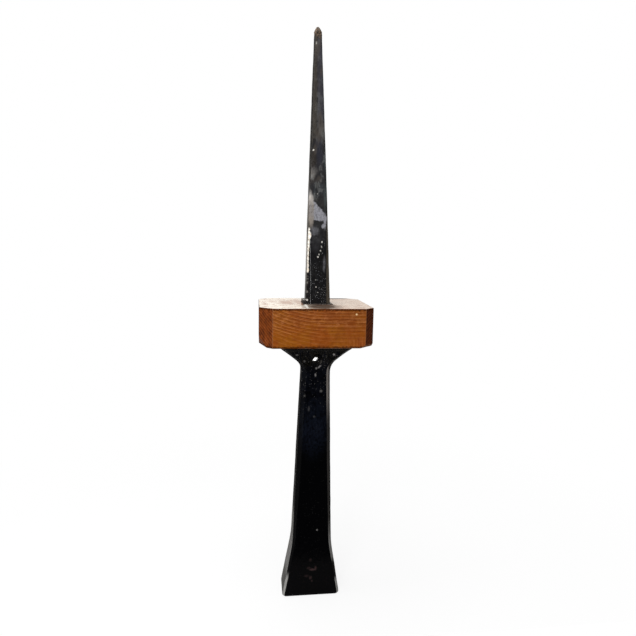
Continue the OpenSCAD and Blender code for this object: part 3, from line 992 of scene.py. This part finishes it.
def collar_arrises(n, along):
    """Dark along the top and the bottom, a thin broken painted highlight along the foot, and pale down the
    corners.
    """
    wall = n.band(n.look_z, 0.9, 0.7)
    to_bottom = n.minus(n.z, COLLAR_LOW.z)
    rim = n.calc("MINIMUM", n.minus(COLLAR_HIGH.z, n.z), to_bottom)
    rim = n.plus(rim, n.centred(n.noise(420.0, 3.0, 0.65), 5.0 * MM))
    rim = n.times(n.band(rim, 2.6 * MM, 1.0 * MM), wall, 0.85)
    n.tint(RIM, rim)
    # Painted highlight: a thin pale line where the lower arris catches the light
    n.tint(PAINTED_LOWER_HIGHLIGHT, n.band(to_bottom, 0.7 * MM, 0.35 * MM), n.band(along, 0.42, 0.56), 0.6)
    corner = n.times(n.band(n.along_x, 0.08, 0.2), n.band(n.along_x, 0.6, 0.45), wall)
    n.tint(RUBBED_CORNER, corner, 0.5)
    return rim


def collar_top(n, top):
    """The top is scuffed and paler at grazing views as a painted sheen, darker in front of the spike, with a
    painted shadow along the back and a painted reflection of the spike; gives the varnish that is left.
    """
    # Darker in front of the spike, and a painted shadow along the back edge
    darkened = n.most(n.patch(*DARK_PATCH_BY_SPIKE), n.patch(*PAINTED_BACK_SHADOW))
    haze = n.noise(90.0, 4.0, 0.6, (1, 0.35, 1))
    rosy = n.times(n.patch(*ROSY_PATCH), n.band(haze, 0.36, 0.6, 0.2, 0.9))
    scuff = n.times(
        n.band(n.noise(130.0, 4.0, 0.65), 0.3, 0.55),
        n.band(n.x, 0.03, -0.03, 0.4, 1.0),
        n.minus(1.0, rosy),
    )
    # Painted sheen: the scuffs grow paler towards grazing views, as the varnish's reflection does
    grazing_sheen = n.band(n.add("LayerWeight")["Facing"], 0.45, 0.85, 0.16, 0.95)
    # Painted reflection of the spike's pale left edge, which keeps its varnish
    spike_reflection = n.times(n.patch(*SPIKE_REFLECTION_PATCH), grazing_sheen)
    n.tint(SCUFF_AND_SHEEN, top, scuff, grazing_sheen)
    n.tint(TOP_DARKENING, top, darkened, 0.9)
    n.tint(PAINTED_SPIKE_REFLECTION, top, spike_reflection, 0.9)
    undarkened = n.minus(1.0, n.times(darkened, 0.95))
    return n.times(n.band(haze, 0.32, 0.55, 0.78, 1.0), n.most(undarkened, spike_reflection))


def varnished_wood(s):
    """Orange-brown wood with close rings lying nearly level, redder end grain and a glossy varnish."""
    n = Finish("Varnished wood", s.wood)
    ring = growth_rings(n, s)
    saw = n.calc("FRACT", ring)
    late = n.times(n.band(saw, 0.55, 0.88), n.band(saw, 1.0, 0.92))
    early = n.times(n.band(saw, 0.0, 0.15), n.band(saw, 0.42, 0.15))
    along = n.noise(260.0, stretch=(0.3, 1, 1))
    fibre = n.noise(1500.0, 3.0, 0.65, (0.045, 1, 1))
    cells = n.add("TexVoronoi", {"Vector": n.stretched((0.12, 1, 1)), "Scale": 1300.0})
    pores = n.times(n.band(cells["Distance"], 0.26, 0.08), n.plus(0.25, early))

    long_grain(n, s, ring, late, early, along, fibre, pores)
    end_grain(n, s, late, early)
    n.tint(NICK_WOOD, n.patch(*NICK_PATCH))
    rim = collar_arrises(n, along)
    top = n.band(n.look_z, 0.7, 0.9)
    varnish = n.mix(top, n.times(n.minus(1.0, rim), 0.28), collar_top(n, top))
    return n.done(
        n.band(fibre, 0.2, 0.8, 0.5, 0.65),
        n.plus(n.times(fibre, 0.5), n.times(pores, -0.6)),
        0.00012,
        Coat_Weight=varnish,
        Coat_Roughness=0.16,
        Coat_IOR=1.45,
        Specular_IOR_Level=0.0,
    )


# Black paint of the shank and the rivet

NECK_PAINT, BLUE_PAINT, GRIT = (0.0035, 0.0042, 0.0075), (0.0045, 0.006, 0.011), (0.020, 0.017, 0.012)
PAINTED_WOOD_REFLECTION, LOW_FOOT_LIGHT = (0.06, 0.014, 0.004), (0.235, 0.23, 0.22)
LOW_MARK, PAINTED_GLINT_GREY, BRIGHT_METAL_GLINT = (0.24, 0.13, 0.13), (0.20, 0.19, 0.185), (0.92, 0.92, 0.90)
BLUE_PATCH = ((1, -14, 188), (13, 9, 26), 9, 120, 0.6)

# Painted glints on the neck and flange, and marks on the foot: centre, reach, raggedness, strength and turn
SHANK_GLINTS_AND_MARKS = (
    ((21.3, -13.5, 265.2), (1.1, 4, 1.1), 0.5, 0.95),
    ((-16.6, -13.5, 264.9), (1.2, 4, 0.8), 0.7, 0.35),
    ((-8.9, -13.5, 258.2), (1.0, 4, 1.1), 0.5, 0.3),
    ((6.6, -13.5, 252.6), (1.9, 3, 0.8), 0.5, 0.9, 40),
    ((3.3, -13.5, 251.0), (1.0, 3, 0.9), 0.4, 0.8, 20),
    ((2.6, -13.6, 244.0), (0.8, 2, 1.6), 0.5, 0.8),
    ((8.6, -13.7, 227.1), (1.3, 2, 1.3), 0.9, 0.4),
    ((-8.4, -13.7, 222.1), (1.2, 2, 0.8), 0.8, 0.25),
    ((-3.7, -13.9, 208.5), (1.0, 2, 2.6), 1.6, 0.14),
    ((1.8, -13.9, 200.0), (1.2, 2, 1.0), 1.4, 0.14),
    ((6.9, -14.9, 75.3), (0.9, 2, 0.9), 0.3, 0.5),
    ((3.0, -15.3, 30.4), (3.4, 2, 1.1), 1.6, 0.13),
    ((6.0, -15.3, 32.2), (1.1, 2, 1.9), 1.2, 0.09),
    ((-1.4, -15.3, 32.4), (2.0, 2, 1.1), 1.8, 0.05),
    ((0.4, -15.3, 41.5), (1.2, 2, 1.6), 1.4, 0.04),
    ((0.6, -15.4, 21.2), (1.4, 2, 1.9), 2.0, 0.07),
    ((-3.6, -15.4, 23.4), (2.2, 2, 1.2), 2.4, 0.04),
    ((2.2, -15.4, 17.4), (1.0, 2, 1.2), 1.6, 0.05),
)


def right_chamfer_reflection(n, s, streaks):
    """The right chamfer is painted grey as a reflection, from the neck down to the middle and less so along
    its outer edge.
    """
    outline_x, outline_slope = 24.0 * MM, 0.0244
    edge = n.plus(n.minus(n.x, outline_x), n.times(n.z, outline_slope))
    side = n.times(n.chamfer(), n.band(n.x, 0.0, 0.004), n.band(n.y, 0.0, -0.004))
    fade = n.times(n.band(n.z, 0.185, 0.228, 0.12, 1.0), n.band(n.z, 0.262, 0.250))
    side = n.times(side, fade, n.band(edge, -2.0 * MM, -1.5 * MM, 1.0, 0.12), streaks)
    n.tint(s.chamfer_reflection, side)
    return side


def painted_foot_light(n, s, streaks):
    """Painted light on the foot: pale on the left face and its chamfer near the sole, and on parts of the
    front right one.
    """
    foot = n.times(n.band(n.z, 0.092, 0.055), streaks)
    flank, low = n.band(n.along_x, 0.78, 0.92), n.band(n.z, 0.030, 0.020)
    pale = n.mix(low, flank, n.minus(1.0, flank))
    left = n.times(foot, n.band(n.look_x, -0.3, -0.5), n.band(n.y, 0.014, 0.012), pale)
    broken = n.most(n.band(n.z, 0.036, 0.044), n.band(n.z, 0.022, 0.016))
    right = n.times(foot, n.band(n.look_x, 0.3, 0.5), n.band(n.look_y, 0.0, -0.1), broken)
    foot_light = n.most(left, right)
    n.tint(n.mix(low, s.foot_light, LOW_FOOT_LIGHT), foot_light)
    return foot_light


def black_paint(name, s, marks=(), painted_glints=(), lumps=300.0):
    """Glossy black paint over rough iron, with grit, marks, painted glints, painted reflections on the right
    chamfer and the flange's top, painted light on the foot, and bright metal patches that partly paint a
    highlight.
    """
    n = Finish(name, s.paint)
    skin = n.skin(lumps, 700.0, 0.3)
    mottle = skin["Mottle"]
    neck = n.band(n.plus(n.z, n.centred(mottle, 0.02)), 0.155, 0.205)
    n.tint(NECK_PAINT, neck, mottle, 0.7)
    brushed = n.noise(480.0, 4.0, 0.65, (1, 1, 0.6))
    n.tint(BLUE_PAINT, n.patch(*BLUE_PATCH), n.band(brushed, 0.3, 0.66))
    n.tint(GRIT, n.band(n.noise(900.0, 3.0, 0.7), 0.48, 0.6), n.band(n.z, 0.245, 0.262), 0.7)
    # Painted reflection: the red-brown of the wood's underside along the top of the flange
    n.tint(PAINTED_WOOD_REFLECTION, n.band(n.z, SHANK_HIGH.z - 4 * MM, SHANK_HIGH.z - 2 * MM))

    streaks = n.band(n.noise(300.0, stretch=(1, 1, 0.1)), 0.25, 0.55, 0.6, 1.0)
    # Painted reflection on the right chamfer
    side = right_chamfer_reflection(n, s, streaks)
    # Painted light on the foot
    foot_light = painted_foot_light(n, s, streaks)
    # Painted glints: pale specks and spots high on the shank; the low marks on the foot are its own colour
    paint_glint_specks = n.times(n.specks(620.0, 0.28, 0.24), n.band(n.z, 0.19, 0.25, 0.03, 0.42))
    glint_and_mark_mask = n.most(paint_glint_specks, *n.patches(marks, 700, 0.6))
    n.tint(n.mix(n.band(n.z, 0.04, 0.06), LOW_MARK, PAINTED_GLINT_GREY), glint_and_mark_mask)
    # Bright metal patches placed where a glint falls, partly a painted highlight
    bright = n.most(0.0, *n.patches(painted_glints, 600, 0.3))
    n.tint(BRIGHT_METAL_GLINT, bright)

    height = n.times(skin["Height"], n.band(neck, 0.0, 1.0, 0.3, 1.0))
    dull = n.times(n.band(n.look_x, -0.3, -0.5), n.band(n.z, 0.085, 0.105), 0.9)
    rough = n.mix(mottle, 0.13, 0.22)
    rough = n.over(rough, 0.6, n.most(side, foot_light, glint_and_mark_mask, dull))
    rough = n.over(rough, 0.42, bright)
    return n.done(rough, n.plus(height, n.times(glint_and_mark_mask, 0.5)), 0.0003, Metallic=bright, IOR=1.16)


# Finishes of the wedge and the pitch

IRON_SHADE, PITCH_SHADE = (0.010, 0.008, 0.007), (0.008, 0.005, 0.004)


def hammered_iron(s):
    """Dark rusty iron with a bright hammered head."""
    n = Finish("Hammered iron", s.dark_iron)
    skin = n.skin(800.0, 1600.0, 0.4)
    head = n.band(n.z, WEDGE_HIGH.z - 1.2 * MM, WEDGE_HIGH.z - 0.3 * MM)
    struck = n.times(head, n.band(n.noise(700.0), 0.46, 0.58))
    n.tint(IRON_SHADE, skin["Mottle"])
    n.tint(s.bright_iron, struck)
    return n.done(n.mix(struck, 0.6, 0.36), skin["Height"], 0.0004, Metallic=n.times(struck, 0.6))


def dark_pitch(s):
    """Hard brown-black pitch with a glossy skin."""
    n = Finish("Dark pitch", s.pitch)
    skin = n.skin(420.0, 1200.0, 0.2)
    n.tint(PITCH_SHADE, skin["Mottle"])
    return n.done(n.mix(skin["Mottle"], 0.3, 0.5), skin["Height"], 0.0005)


# Pieces

class PUNCH_OT_spike(bpy.types.Operator):
    """Forges the spike: tang, eight-sided taper and rounded point"""

    bl_idname = "punch.spike"
    bl_label = "Spike"
    bl_options = {"REGISTER", "UNDO"}

    def execute(self, context):
        s = context.scene.punch_spike
        shoulder, tip = COLLAR_LOW.z, SPIKE_HIGH.z
        wide, deep, lead = s.tang_width / 2, s.tang_depth / 2, s.tang_lead
        middle = shank_middle(shoulder)
        rings = [
            (SPIKE_LOW.z, middle, wide - lead, deep - lead, s.tang_arris),
            (SPIKE_LOW.z + 2 * lead, middle, wide, deep, s.tang_arris),
            (shoulder - 0.4 * MM, middle, wide, deep, s.tang_arris),
        ]
        rings += spike_rings(s, shoulder, tip)
        obj = stack_rings(rings, 4, 4)
        edit(True)
        round_long_edges(obj, rings, s.edge_round, shoulder + 1 * MM, tip - 9 * MM)
        edit(False)
        apply_modifier(obj, "SUBSURF", levels=2, render_levels=2)
        self.roughen(obj, s, tip)
        keep_inside(obj, SPIKE_LOW, SPIKE_HIGH)
        finish_piece(obj, "forged_spike", "punch_spike", forged_iron(s))
        return {"FINISHED"}

    def roughen(self, obj, s, tip):
        """Hammer marks above the collar, and lumps of rust on the point."""
        base = COLLAR_HIGH.z

        def forged(p):
            return smooth_between(p.z, base, base + 8 * MM) * smooth_between(tip - p.z, 0.5 * MM, 6 * MM)

        hold = weigh(obj, "forged", forged)
        hammer(obj, hold, 22 * MM, s.hammer_depth)
        hammer(obj, hold, 5 * MM, s.hammer_depth * 0.45)
        point = weigh(obj, "scaled", lambda p: smooth_between(p.z, tip - 13 * MM, tip - 8 * MM))
        hammer(obj, point, 1.6 * MM, s.point_lumps)


class PUNCH_OT_shank(bpy.types.Operator):
    """Forges the shank: foot, taper, neck and flange with chamfered corners"""

    bl_idname = "punch.shank"
    bl_label = "Shank"
    bl_options = {"REGISTER", "UNDO"}

    def execute(self, context):
        s = context.scene.punch_shank
        rings = shank_rings(s)
        obj = stack_rings(rings, 8, 4)
        ends = {round(rings[0][0], 6), round(rings[-1][0], 6)}
        edit(True)
        round_long_edges(obj, rings, s.edge_round, SHANK_LOW.z, SHANK_HIGH.z)
        pick(
            obj,
            "EDGE",
            lambda e: line_of(e).z < 0.01 and round(middle_of(e).z, 6) in ends and outer_edge(e),
        )
        bpy.ops.transform.edge_crease(value=1.0)
        edit(False)
        apply_modifier(obj, "SUBSURF", levels=2, render_levels=2)
        top = SHANK_HIGH.z - s.flange_edge

        def forged(p):
            return smooth_between(p.z, 1 * MM, 5 * MM) * smooth_between(top - p.z, -1 * MM, 9 * MM)

        hold = weigh(obj, "forged", forged)
        hammer(obj, hold, 30 * MM, s.hammer_depth)
        hammer(obj, hold, 7 * MM, s.hammer_depth * 0.4)
        coat = black_paint("Black painted iron", s, marks=SHANK_GLINTS_AND_MARKS)
        finish_piece(obj, "painted_shank", "flared_shank", coat)
        return {"FINISHED"}


class PUNCH_OT_collar(bpy.types.Operator):
    """Saws the wood collar: block, cut corners, nips and mortise"""

    bl_idname = "punch.collar"
    bl_label = "Wood collar"
    bl_options = {"REGISTER", "UNDO"}

    def execute(self, context):
        s = context.scene.punch_collar
        low, high = COLLAR_LOW, COLLAR_HIGH
        obj = block(low, high)
        corners = (
            (low.x, low.y, s.corner_front_left),
            (high.x, low.y, s.corner_front_right),
            (low.x, high.y, s.corner_back_left),
            (high.x, high.y, s.corner_back_right),
        )
        edit(True)
        for corner in corners:
            self.saw_corner(obj, *corner)
        for corner in corners:
            self.nip_corner(s, *corner)
        close_shell()
        past = Vector((0, 0, 10 * MM))
        mortise = (PITCH_LOW.x, PITCH_LOW.y, low.z), (PITCH_HIGH.x, PITCH_HIGH.y, high.z)
        cut_away(obj, block(Vector(mortise[0]) - past, Vector(mortise[1]) + past))
        easing = {"limit_method": "ANGLE", "angle_limit": math.radians(25)}
        apply_modifier(obj, "BEVEL", width=s.edge_round, segments=3, **easing)
        finish_piece(obj, "sawn_collar", "wood_collar", varnished_wood(s), 30)
        apply_modifier(obj, "WEIGHTED_NORMAL", keep_sharp=True)
        return {"FINISHED"}

    def saw_corner(self, obj, x, y, cut):
        """Saws one upright corner off the block."""
        place = Vector((x, y))
        pick(obj, "EDGE", lambda e: line_of(e).z > 0.99 and (middle_of(e).xy - place).length < 1e-5)
        bpy.ops.mesh.bevel(offset=cut, offset_type="OFFSET", segments=1, affect="EDGES", clamp_overlap=False)

    def nip_corner(self, s, x, y, cut):
        """Makes the small slanting cut under one corner; the one at the front left is steep and askew."""
        askew = x < 0 and y < 0
        rise = s.skew_nip_rise if askew else s.nip_height / s.nip_width
        reach = s.skew_nip_reach if askew else s.nip_width / math.sqrt(2)
        turn = math.atan2(math.copysign(1, y), math.copysign(1, x)) - (s.skew_nip_turn if askew else 0.0)
        out = Vector((math.cos(turn), math.sin(turn), 0))
        middle = Vector((x - math.copysign(cut / 2, x), y - math.copysign(cut / 2, y), COLLAR_LOW.z))
        slope = (out * rise - Vector((0, 0, 1))).normalized()
        bpy.ops.mesh.select_all(action="SELECT")
        bpy.ops.mesh.bisect(plane_co=middle - out * reach, plane_no=slope, use_fill=True, clear_outer=True)


class PUNCH_OT_wedge(bpy.types.Operator):
    """Forges the iron wedge with its hammered head"""

    bl_idname = "punch.wedge"
    bl_label = "Collar wedge"
    bl_options = {"REGISTER", "UNDO"}

    def execute(self, context):
        s = context.scene.punch_fittings
        low, high = WEDGE_LOW + Vector((s.burr, s.burr, 0)), WEDGE_HIGH - Vector((0, s.burr, 0))
        base = COLLAR_HIGH.z
        obj = block(low, Vector((high.x, high.y, base)))
        edit(True)
        pick(obj, "FACE", lambda f: f.normal.z < -0.9)
        narrowing = (s.wedge_toe / (high.x - low.x), 1, 1)
        bpy.ops.transform.resize(value=narrowing, center_override=(low.x, 0, low.z))
        self.spread_head(obj, WEDGE_HIGH.z - base, ((low.x + high.x) / 2, 0, base))
        pick(obj, "FACE", lambda f: f.calc_center_median().z > base - 4 * MM)
        bpy.ops.mesh.subdivide(number_cuts=3)
        edit(False)
        easing = {"limit_method": "ANGLE", "angle_limit": math.radians(30)}
        apply_modifier(obj, "BEVEL", width=0.2 * MM, segments=2, **easing)
        apply_modifier(obj, "SUBSURF", levels=1, render_levels=1, subdivision_type="SIMPLE")
        hold = weigh(obj, "struck", lambda p: smooth_between(p.z, base, base + 1.5 * MM))
        hammer(obj, hold, 2.2 * MM, s.lump_depth)
        keep_inside(obj, WEDGE_LOW, WEDGE_HIGH, 0.15 * MM)
        finish_piece(obj, "hammered_wedge", "collar_wedge", hammered_iron(s), 60)
        return {"FINISHED"}

    def spread_head(self, obj, height, middle):
        """Draws the head up in steps, each a share of its height with its own spread."""
        for rise, spread in ((0.25, 1.0), (0.35, 1.14), (0.3, 1.04), (0.1, 0.78)):
            pick(obj, "FACE", lambda f: f.normal.z > 0.9)
            extrude((0, 0, rise * height))
            bpy.ops.transform.resize(value=(spread, 1 + (spread - 1) * 0.3, 1), center_override=middle)


class PUNCH_OT_pitch(bpy.types.Operator):
    """Pours the pitch round the spike"""

    bl_idname = "punch.pitch"
    bl_label = "Pitch bed"
    bl_options = {"REGISTER", "UNDO"}

    def execute(self, context):
        s = context.scene.punch_fittings
        past = 2 * MM
        obj = block(PITCH_LOW, PITCH_HIGH)
        rings = spike_rings(context.scene.punch_spike, PITCH_LOW.z - past, PITCH_HIGH.z + past)
        core = stack_rings(rings, 1, 1)
        slot_low = WEDGE_LOW + Vector((-1 * MM, s.burr, 0))
        slot = block(slot_low, Vector((0, WEDGE_HIGH.y - s.burr, WEDGE_HIGH.z)))
        cut_away(obj, core, slot)
        apply_modifier(obj, "REMESH", mode="VOXEL", voxel_size=0.35 * MM, adaptivity=0.0)
        apply_modifier(obj, "SMOOTH", factor=0.5, iterations=3)
        base = COLLAR_HIGH.z
        hold = weigh(obj, "poured", lambda p: smooth_between(p.z, base - 0.4 * MM, base + 0.3 * MM))
        hammer(obj, hold, 3.5 * MM, s.lump_depth)
        keep_inside(obj, PITCH_LOW, PITCH_HIGH)
        finish_piece(obj, "poured_pitch", "pitch_bed", dark_pitch(s), 60)
        return {"FINISHED"}


def ball_radius(reach, high):
    """Radius of the ball that a cap of this half width and height is cut from."""
    return (reach * reach + high * high) / (2 * high)


class PUNCH_OT_rivet(bpy.types.Operator):
    """Sets the cross rivet with a domed head and a hammered tail"""

    bl_idname = "punch.rivet"
    bl_label = "Cross rivet"
    bl_options = {"REGISTER", "UNDO"}

    def execute(self, context):
        s = context.scene.punch_fittings
        centre = (RIVET_LOW + RIVET_HIGH) / 2
        front, back = RIVET_LOW.y + s.head_height, RIVET_HIGH.y - s.tail_height
        start_piece()
        bpy.ops.mesh.primitive_cylinder_add(
            vertices=48,
            radius=s.stem_width / 2,
            depth=back - front,
            location=(centre.x, (front + back) / 2, centre.z),
            rotation=(math.pi / 2, 0, 0),
        )
        obj = settle(context.object)
        edit(True)
        self.upset_head(obj, centre, -1, front, s.head_width / 2, s.head_height, s.stem_width / 2)
        self.upset_head(obj, centre, 1, back, s.tail_width / 2, s.tail_height, s.stem_width / 2)
        close_shell()
        face = -front
        hold = weigh(obj, "struck", lambda p: smooth_between(abs(p.y), face + 0.5 * MM, face + 1.6 * MM))
        hammer(obj, hold, 4.5 * MM, s.dent_depth)
        keep_inside(obj, RIVET_LOW, RIVET_HIGH)
        # The bright patch on the domed head is placed where its glint falls: partly a painted highlight
        rivet_glint = ([c / MM for c in self.bruise(obj, s, centre)], (2.7, 3, 1.05), 0.3, 1.0, 35)
        coat = black_paint("Black painted rivet", context.scene.punch_shank, painted_glints=(rivet_glint,), lumps=500.0)
        finish_piece(obj, "domed_rivet", "cross_rivet", coat, 50)
        return {"FINISHED"}

    def upset_head(self, obj, centre, side, at, reach, high, stem):
        """Spreads one end of the stem and draws it up ring by ring into a cap."""
        ball = ball_radius(reach, high)
        steps = 9
        radius, depth = stem, 0.0
        for step in range(steps + 1):
            new_depth = high * math.sin(step / steps * math.pi / 2)
            new_radius = math.sqrt(max(ball ** 2 - (ball - high + new_depth) ** 2, 0.0))
            new_radius = max(new_radius, 0.25 * MM)
            pick(obj, "FACE", lambda f: self.is_end(f, side, at + side * depth))
            extrude((0, side * (new_depth - depth), 0))
            factor, here = new_radius / radius, (centre.x, at + side * new_depth, centre.z)
            bpy.ops.transform.resize(value=(factor, 1, factor), center_override=here)
            radius, depth = new_radius, new_depth

    def is_end(self, face, side, y):
        """Whether a face is the round end of the stem at y."""
        flat = face.normal.y * side > 0.99 and len(face.verts) > 4
        return flat and abs(face.calc_center_median().y - y) < 1e-6

    def bruise(self, obj, s, centre):
        """Flattens the left of the domed head by one slanting blow and gives the place."""
        ball = ball_radius(s.head_width / 2, s.head_height)
        out = Vector((-0.26, -0.95, 0.16)).normalized()
        place = Vector((centre.x, RIVET_LOW.y + ball, centre.z)) + out * (ball - s.bruise_depth)
        start_piece()
        obj.select_set(True)
        bpy.context.view_layer.objects.active = obj
        edit(True)
        bpy.ops.mesh.select_all(action="SELECT")
        bpy.ops.mesh.bisect(plane_co=place, plane_no=out, use_fill=True, clear_outer=True)
        edit(False)
        return place


class PUNCH_OT_stage(bpy.types.Operator):
    """Lays the floor and the backdrop, and sets lights and camera"""

    bl_idname = "punch.stage"
    bl_label = "Stage"
    bl_options = {"REGISTER", "UNDO"}

    def execute(self, context):
        s = context.scene.punch_stage
        floor = self.sweep(context)
        floor.data.materials.append(self.pale_finish(s))
        self.room(context, s)
        self.lamp(context, "Key", (-0.62, -1.45, 0.42), (0, 0, 0.29), (0.42, 0.2), s.key)
        window = self.lamp(context, "Window", (-0.62, -0.07, 0.375), (0, -0.01, 0.36), (0.16, 0.13), s.window)
        window.visible_glossy = False
        self.lamp(context, "Top", (-0.2, -0.12, 1.3), (0, 0, 0.2), (0.8, 0.8), s.top)
        self.camera(context, s)
        return {"FINISHED"}

    def sweep(self, context):
        """A level floor that curves up behind the object into a wall."""
        near, far, wide, wall = -0.085, 1.65, 3.0, 2.2
        radius, steps = 0.35, 10
        start_piece()
        bpy.ops.mesh.primitive_plane_add(size=1, location=(0, (near + far) / 2, 0))
        floor = context.object
        floor.scale = (wide, far - near, 1.0)
        settle(floor)
        edit(True)
        last = Vector((0, far, 0))
        for step in range(1, steps + 1):
            turn = step / steps * math.pi / 2
            here = Vector((0, far + radius * math.sin(turn), radius * (1 - math.cos(turn))))
            self.pick_edge_at(floor, last)
            extrude(here - last)
            last = here
        self.pick_edge_at(floor, last)
        extrude((0, 0, wall))
        close_shell()
        bpy.ops.object.shade_smooth_by_angle(angle=math.radians(40))
        floor.name = "floor_sweep"
        return floor

    def pick_edge_at(self, floor, place):
        """Selects the edge across the sweep at a place in y and z."""
        pick(floor, "EDGE", lambda e: line_of(e).x > 0.99 and (middle_of(e).yz - place.yz).length < 1e-4)

    def pale_finish(self, s):
        """Pale to the camera with the object's shadow, and cream or grey in glossy faces."""
        material = bpy.data.materials.new("Pale sweep")
        material.use_nodes = True
        tree = material.node_tree
        tree.nodes.clear()
        n = Nodes(tree, tree.nodes.new("ShaderNodeTexCoord").outputs["Object"])
        rays = n.add("LightPath")
        glossy = rays["Is Glossy Ray"]
        height = n.add("SeparateXYZ", {0: n.place})[2]
        seen = n.times(rays["Is Camera Ray"], n.band(n.vector("LENGTH", n.place), 0.1, 0.6, 0.86, 1.0))
        mirrored = n.times(glossy, n.band(height, 0.15, 0.4))
        pale = n.add("BsdfDiffuse", {"Color": n.mix(glossy, s.floor, s.mirrored_floor)})[0]
        white = n.add("Emission", {"Color": n.mix(glossy, 1.0, s.mirrored), "Strength": 1.0})[0]
        glow = n.most(seen, mirrored, rays["Is Transmission Ray"])
        both = n.add("MixShader", {0: glow, 1: pale, 2: white})[0]
        n.add("OutputMaterial", {"Surface": both})
        return material

    def room(self, context, s):
        """White for the camera, an even fill for matt faces and dark for gloss."""
        world = bpy.data.worlds.new("Plain room")
        context.scene.world = world
        world.use_nodes = True
        world.node_tree.nodes.clear()
        n = Nodes(world.node_tree, None)
        rays = n.add("LightPath")
        strength = n.add("Mix", {0: rays["Is Glossy Ray"], 2: s.fill, 3: s.room}, data_type="FLOAT")[0]
        strength = n.add("Mix", {0: rays["Is Camera Ray"], 2: strength, 3: 1.0}, data_type="FLOAT")[0]
        sky = n.add("Background", {"Color": (1, 1, 1, 1), "Strength": strength})[0]
        n.add("OutputWorld", {"Surface": sky})

    def lamp(self, context, name, place, aim, size, power):
        """A soft rectangular light that points at a spot on the object."""
        start_piece()
        bpy.ops.object.light_add(type="AREA", location=place)
        lamp = context.object
        lamp.name = name
        lamp.data.shape = "RECTANGLE"
        lamp.data.size, lamp.data.size_y = size
        lamp.data.energy = power
        lamp.rotation_euler = (Vector(aim) - Vector(place)).to_track_quat("-Z", "Y").to_euler()
        lamp.visible_camera = False
        return lamp

    def camera(self, context, s):
        """Stands at the photograph's viewing angle: a little above the collar and to its left."""
        yaw, pitch, roll = (math.radians(a) for a in CAMERA_TURN)
        ahead = Vector((math.sin(yaw) * math.cos(pitch), math.cos(yaw) * math.cos(pitch), -math.sin(pitch)))
        right = Vector((math.cos(yaw), -math.sin(yaw), 0))
        up = right.cross(ahead)
        x_axis = right * math.cos(roll) + up * math.sin(roll)
        y_axis = up * math.cos(roll) - right * math.sin(roll)
        start_piece()
        bpy.ops.object.camera_add(location=(0, 0, 0))
        camera = context.object
        camera.name = "Photo view"
        camera.data.sensor_width = SENSOR_WIDTH
        camera.data.lens = s.lens
        camera.data.clip_start, camera.data.clip_end = 0.01, 50.0
        turn = Matrix((x_axis, y_axis, -ahead)).transposed()
        camera.matrix_world = Matrix.Translation(CAMERA_PLACE) @ turn.to_4x4()
        context.scene.camera = camera


# Sidebar

GROUPS = (
    ("punch_spike", SpikeSettings),
    ("punch_collar", CollarSettings),
    ("punch_shank", ShankSettings),
    ("punch_fittings", FittingSettings),
    ("punch_stage", StageSettings),
)
STEPS = (
    PUNCH_OT_stage,
    PUNCH_OT_shank,
    PUNCH_OT_collar,
    PUNCH_OT_spike,
    PUNCH_OT_wedge,
    PUNCH_OT_pitch,
    PUNCH_OT_rivet,
)


class PUNCH_PT_parts(bpy.types.Panel):
    """Lists the pieces of the punch and their sizes"""

    bl_label = "Blacksmith punch"
    bl_idname = "PUNCH_PT_parts"
    bl_space_type = "VIEW_3D"
    bl_region_type = "UI"
    bl_category = "Punch"

    def draw(self, context):
        layout = self.layout
        for step in STEPS:
            layout.operator(step.bl_idname)
        for name, settings in GROUPS:
            box = layout.box()
            box.label(text=settings.__doc__)
            for key in settings.__annotations__:
                box.prop(getattr(context.scene, name), key)


CLASSES = (*(settings for _, settings in GROUPS), *STEPS, PUNCH_PT_parts)


def register():
    for item in CLASSES:
        bpy.utils.register_class(item)
    for name, settings in GROUPS:
        setattr(bpy.types.Scene, name, bpy.props.PointerProperty(type=settings))


def unregister():
    for name, _ in GROUPS:
        delattr(bpy.types.Scene, name)
    for item in reversed(CLASSES):
        bpy.utils.unregister_class(item)


def main():
    """Builds the stage and every piece."""
    register()
    bpy.context.scene.view_settings.view_transform = "Standard"
    bpy.ops.punch.stage()
    bpy.ops.punch.shank()
    bpy.ops.punch.collar()
    bpy.ops.punch.spike()
    bpy.ops.punch.wedge()
    bpy.ops.punch.pitch()
    bpy.ops.punch.rivet()


if __name__ == "__main__":
    main()
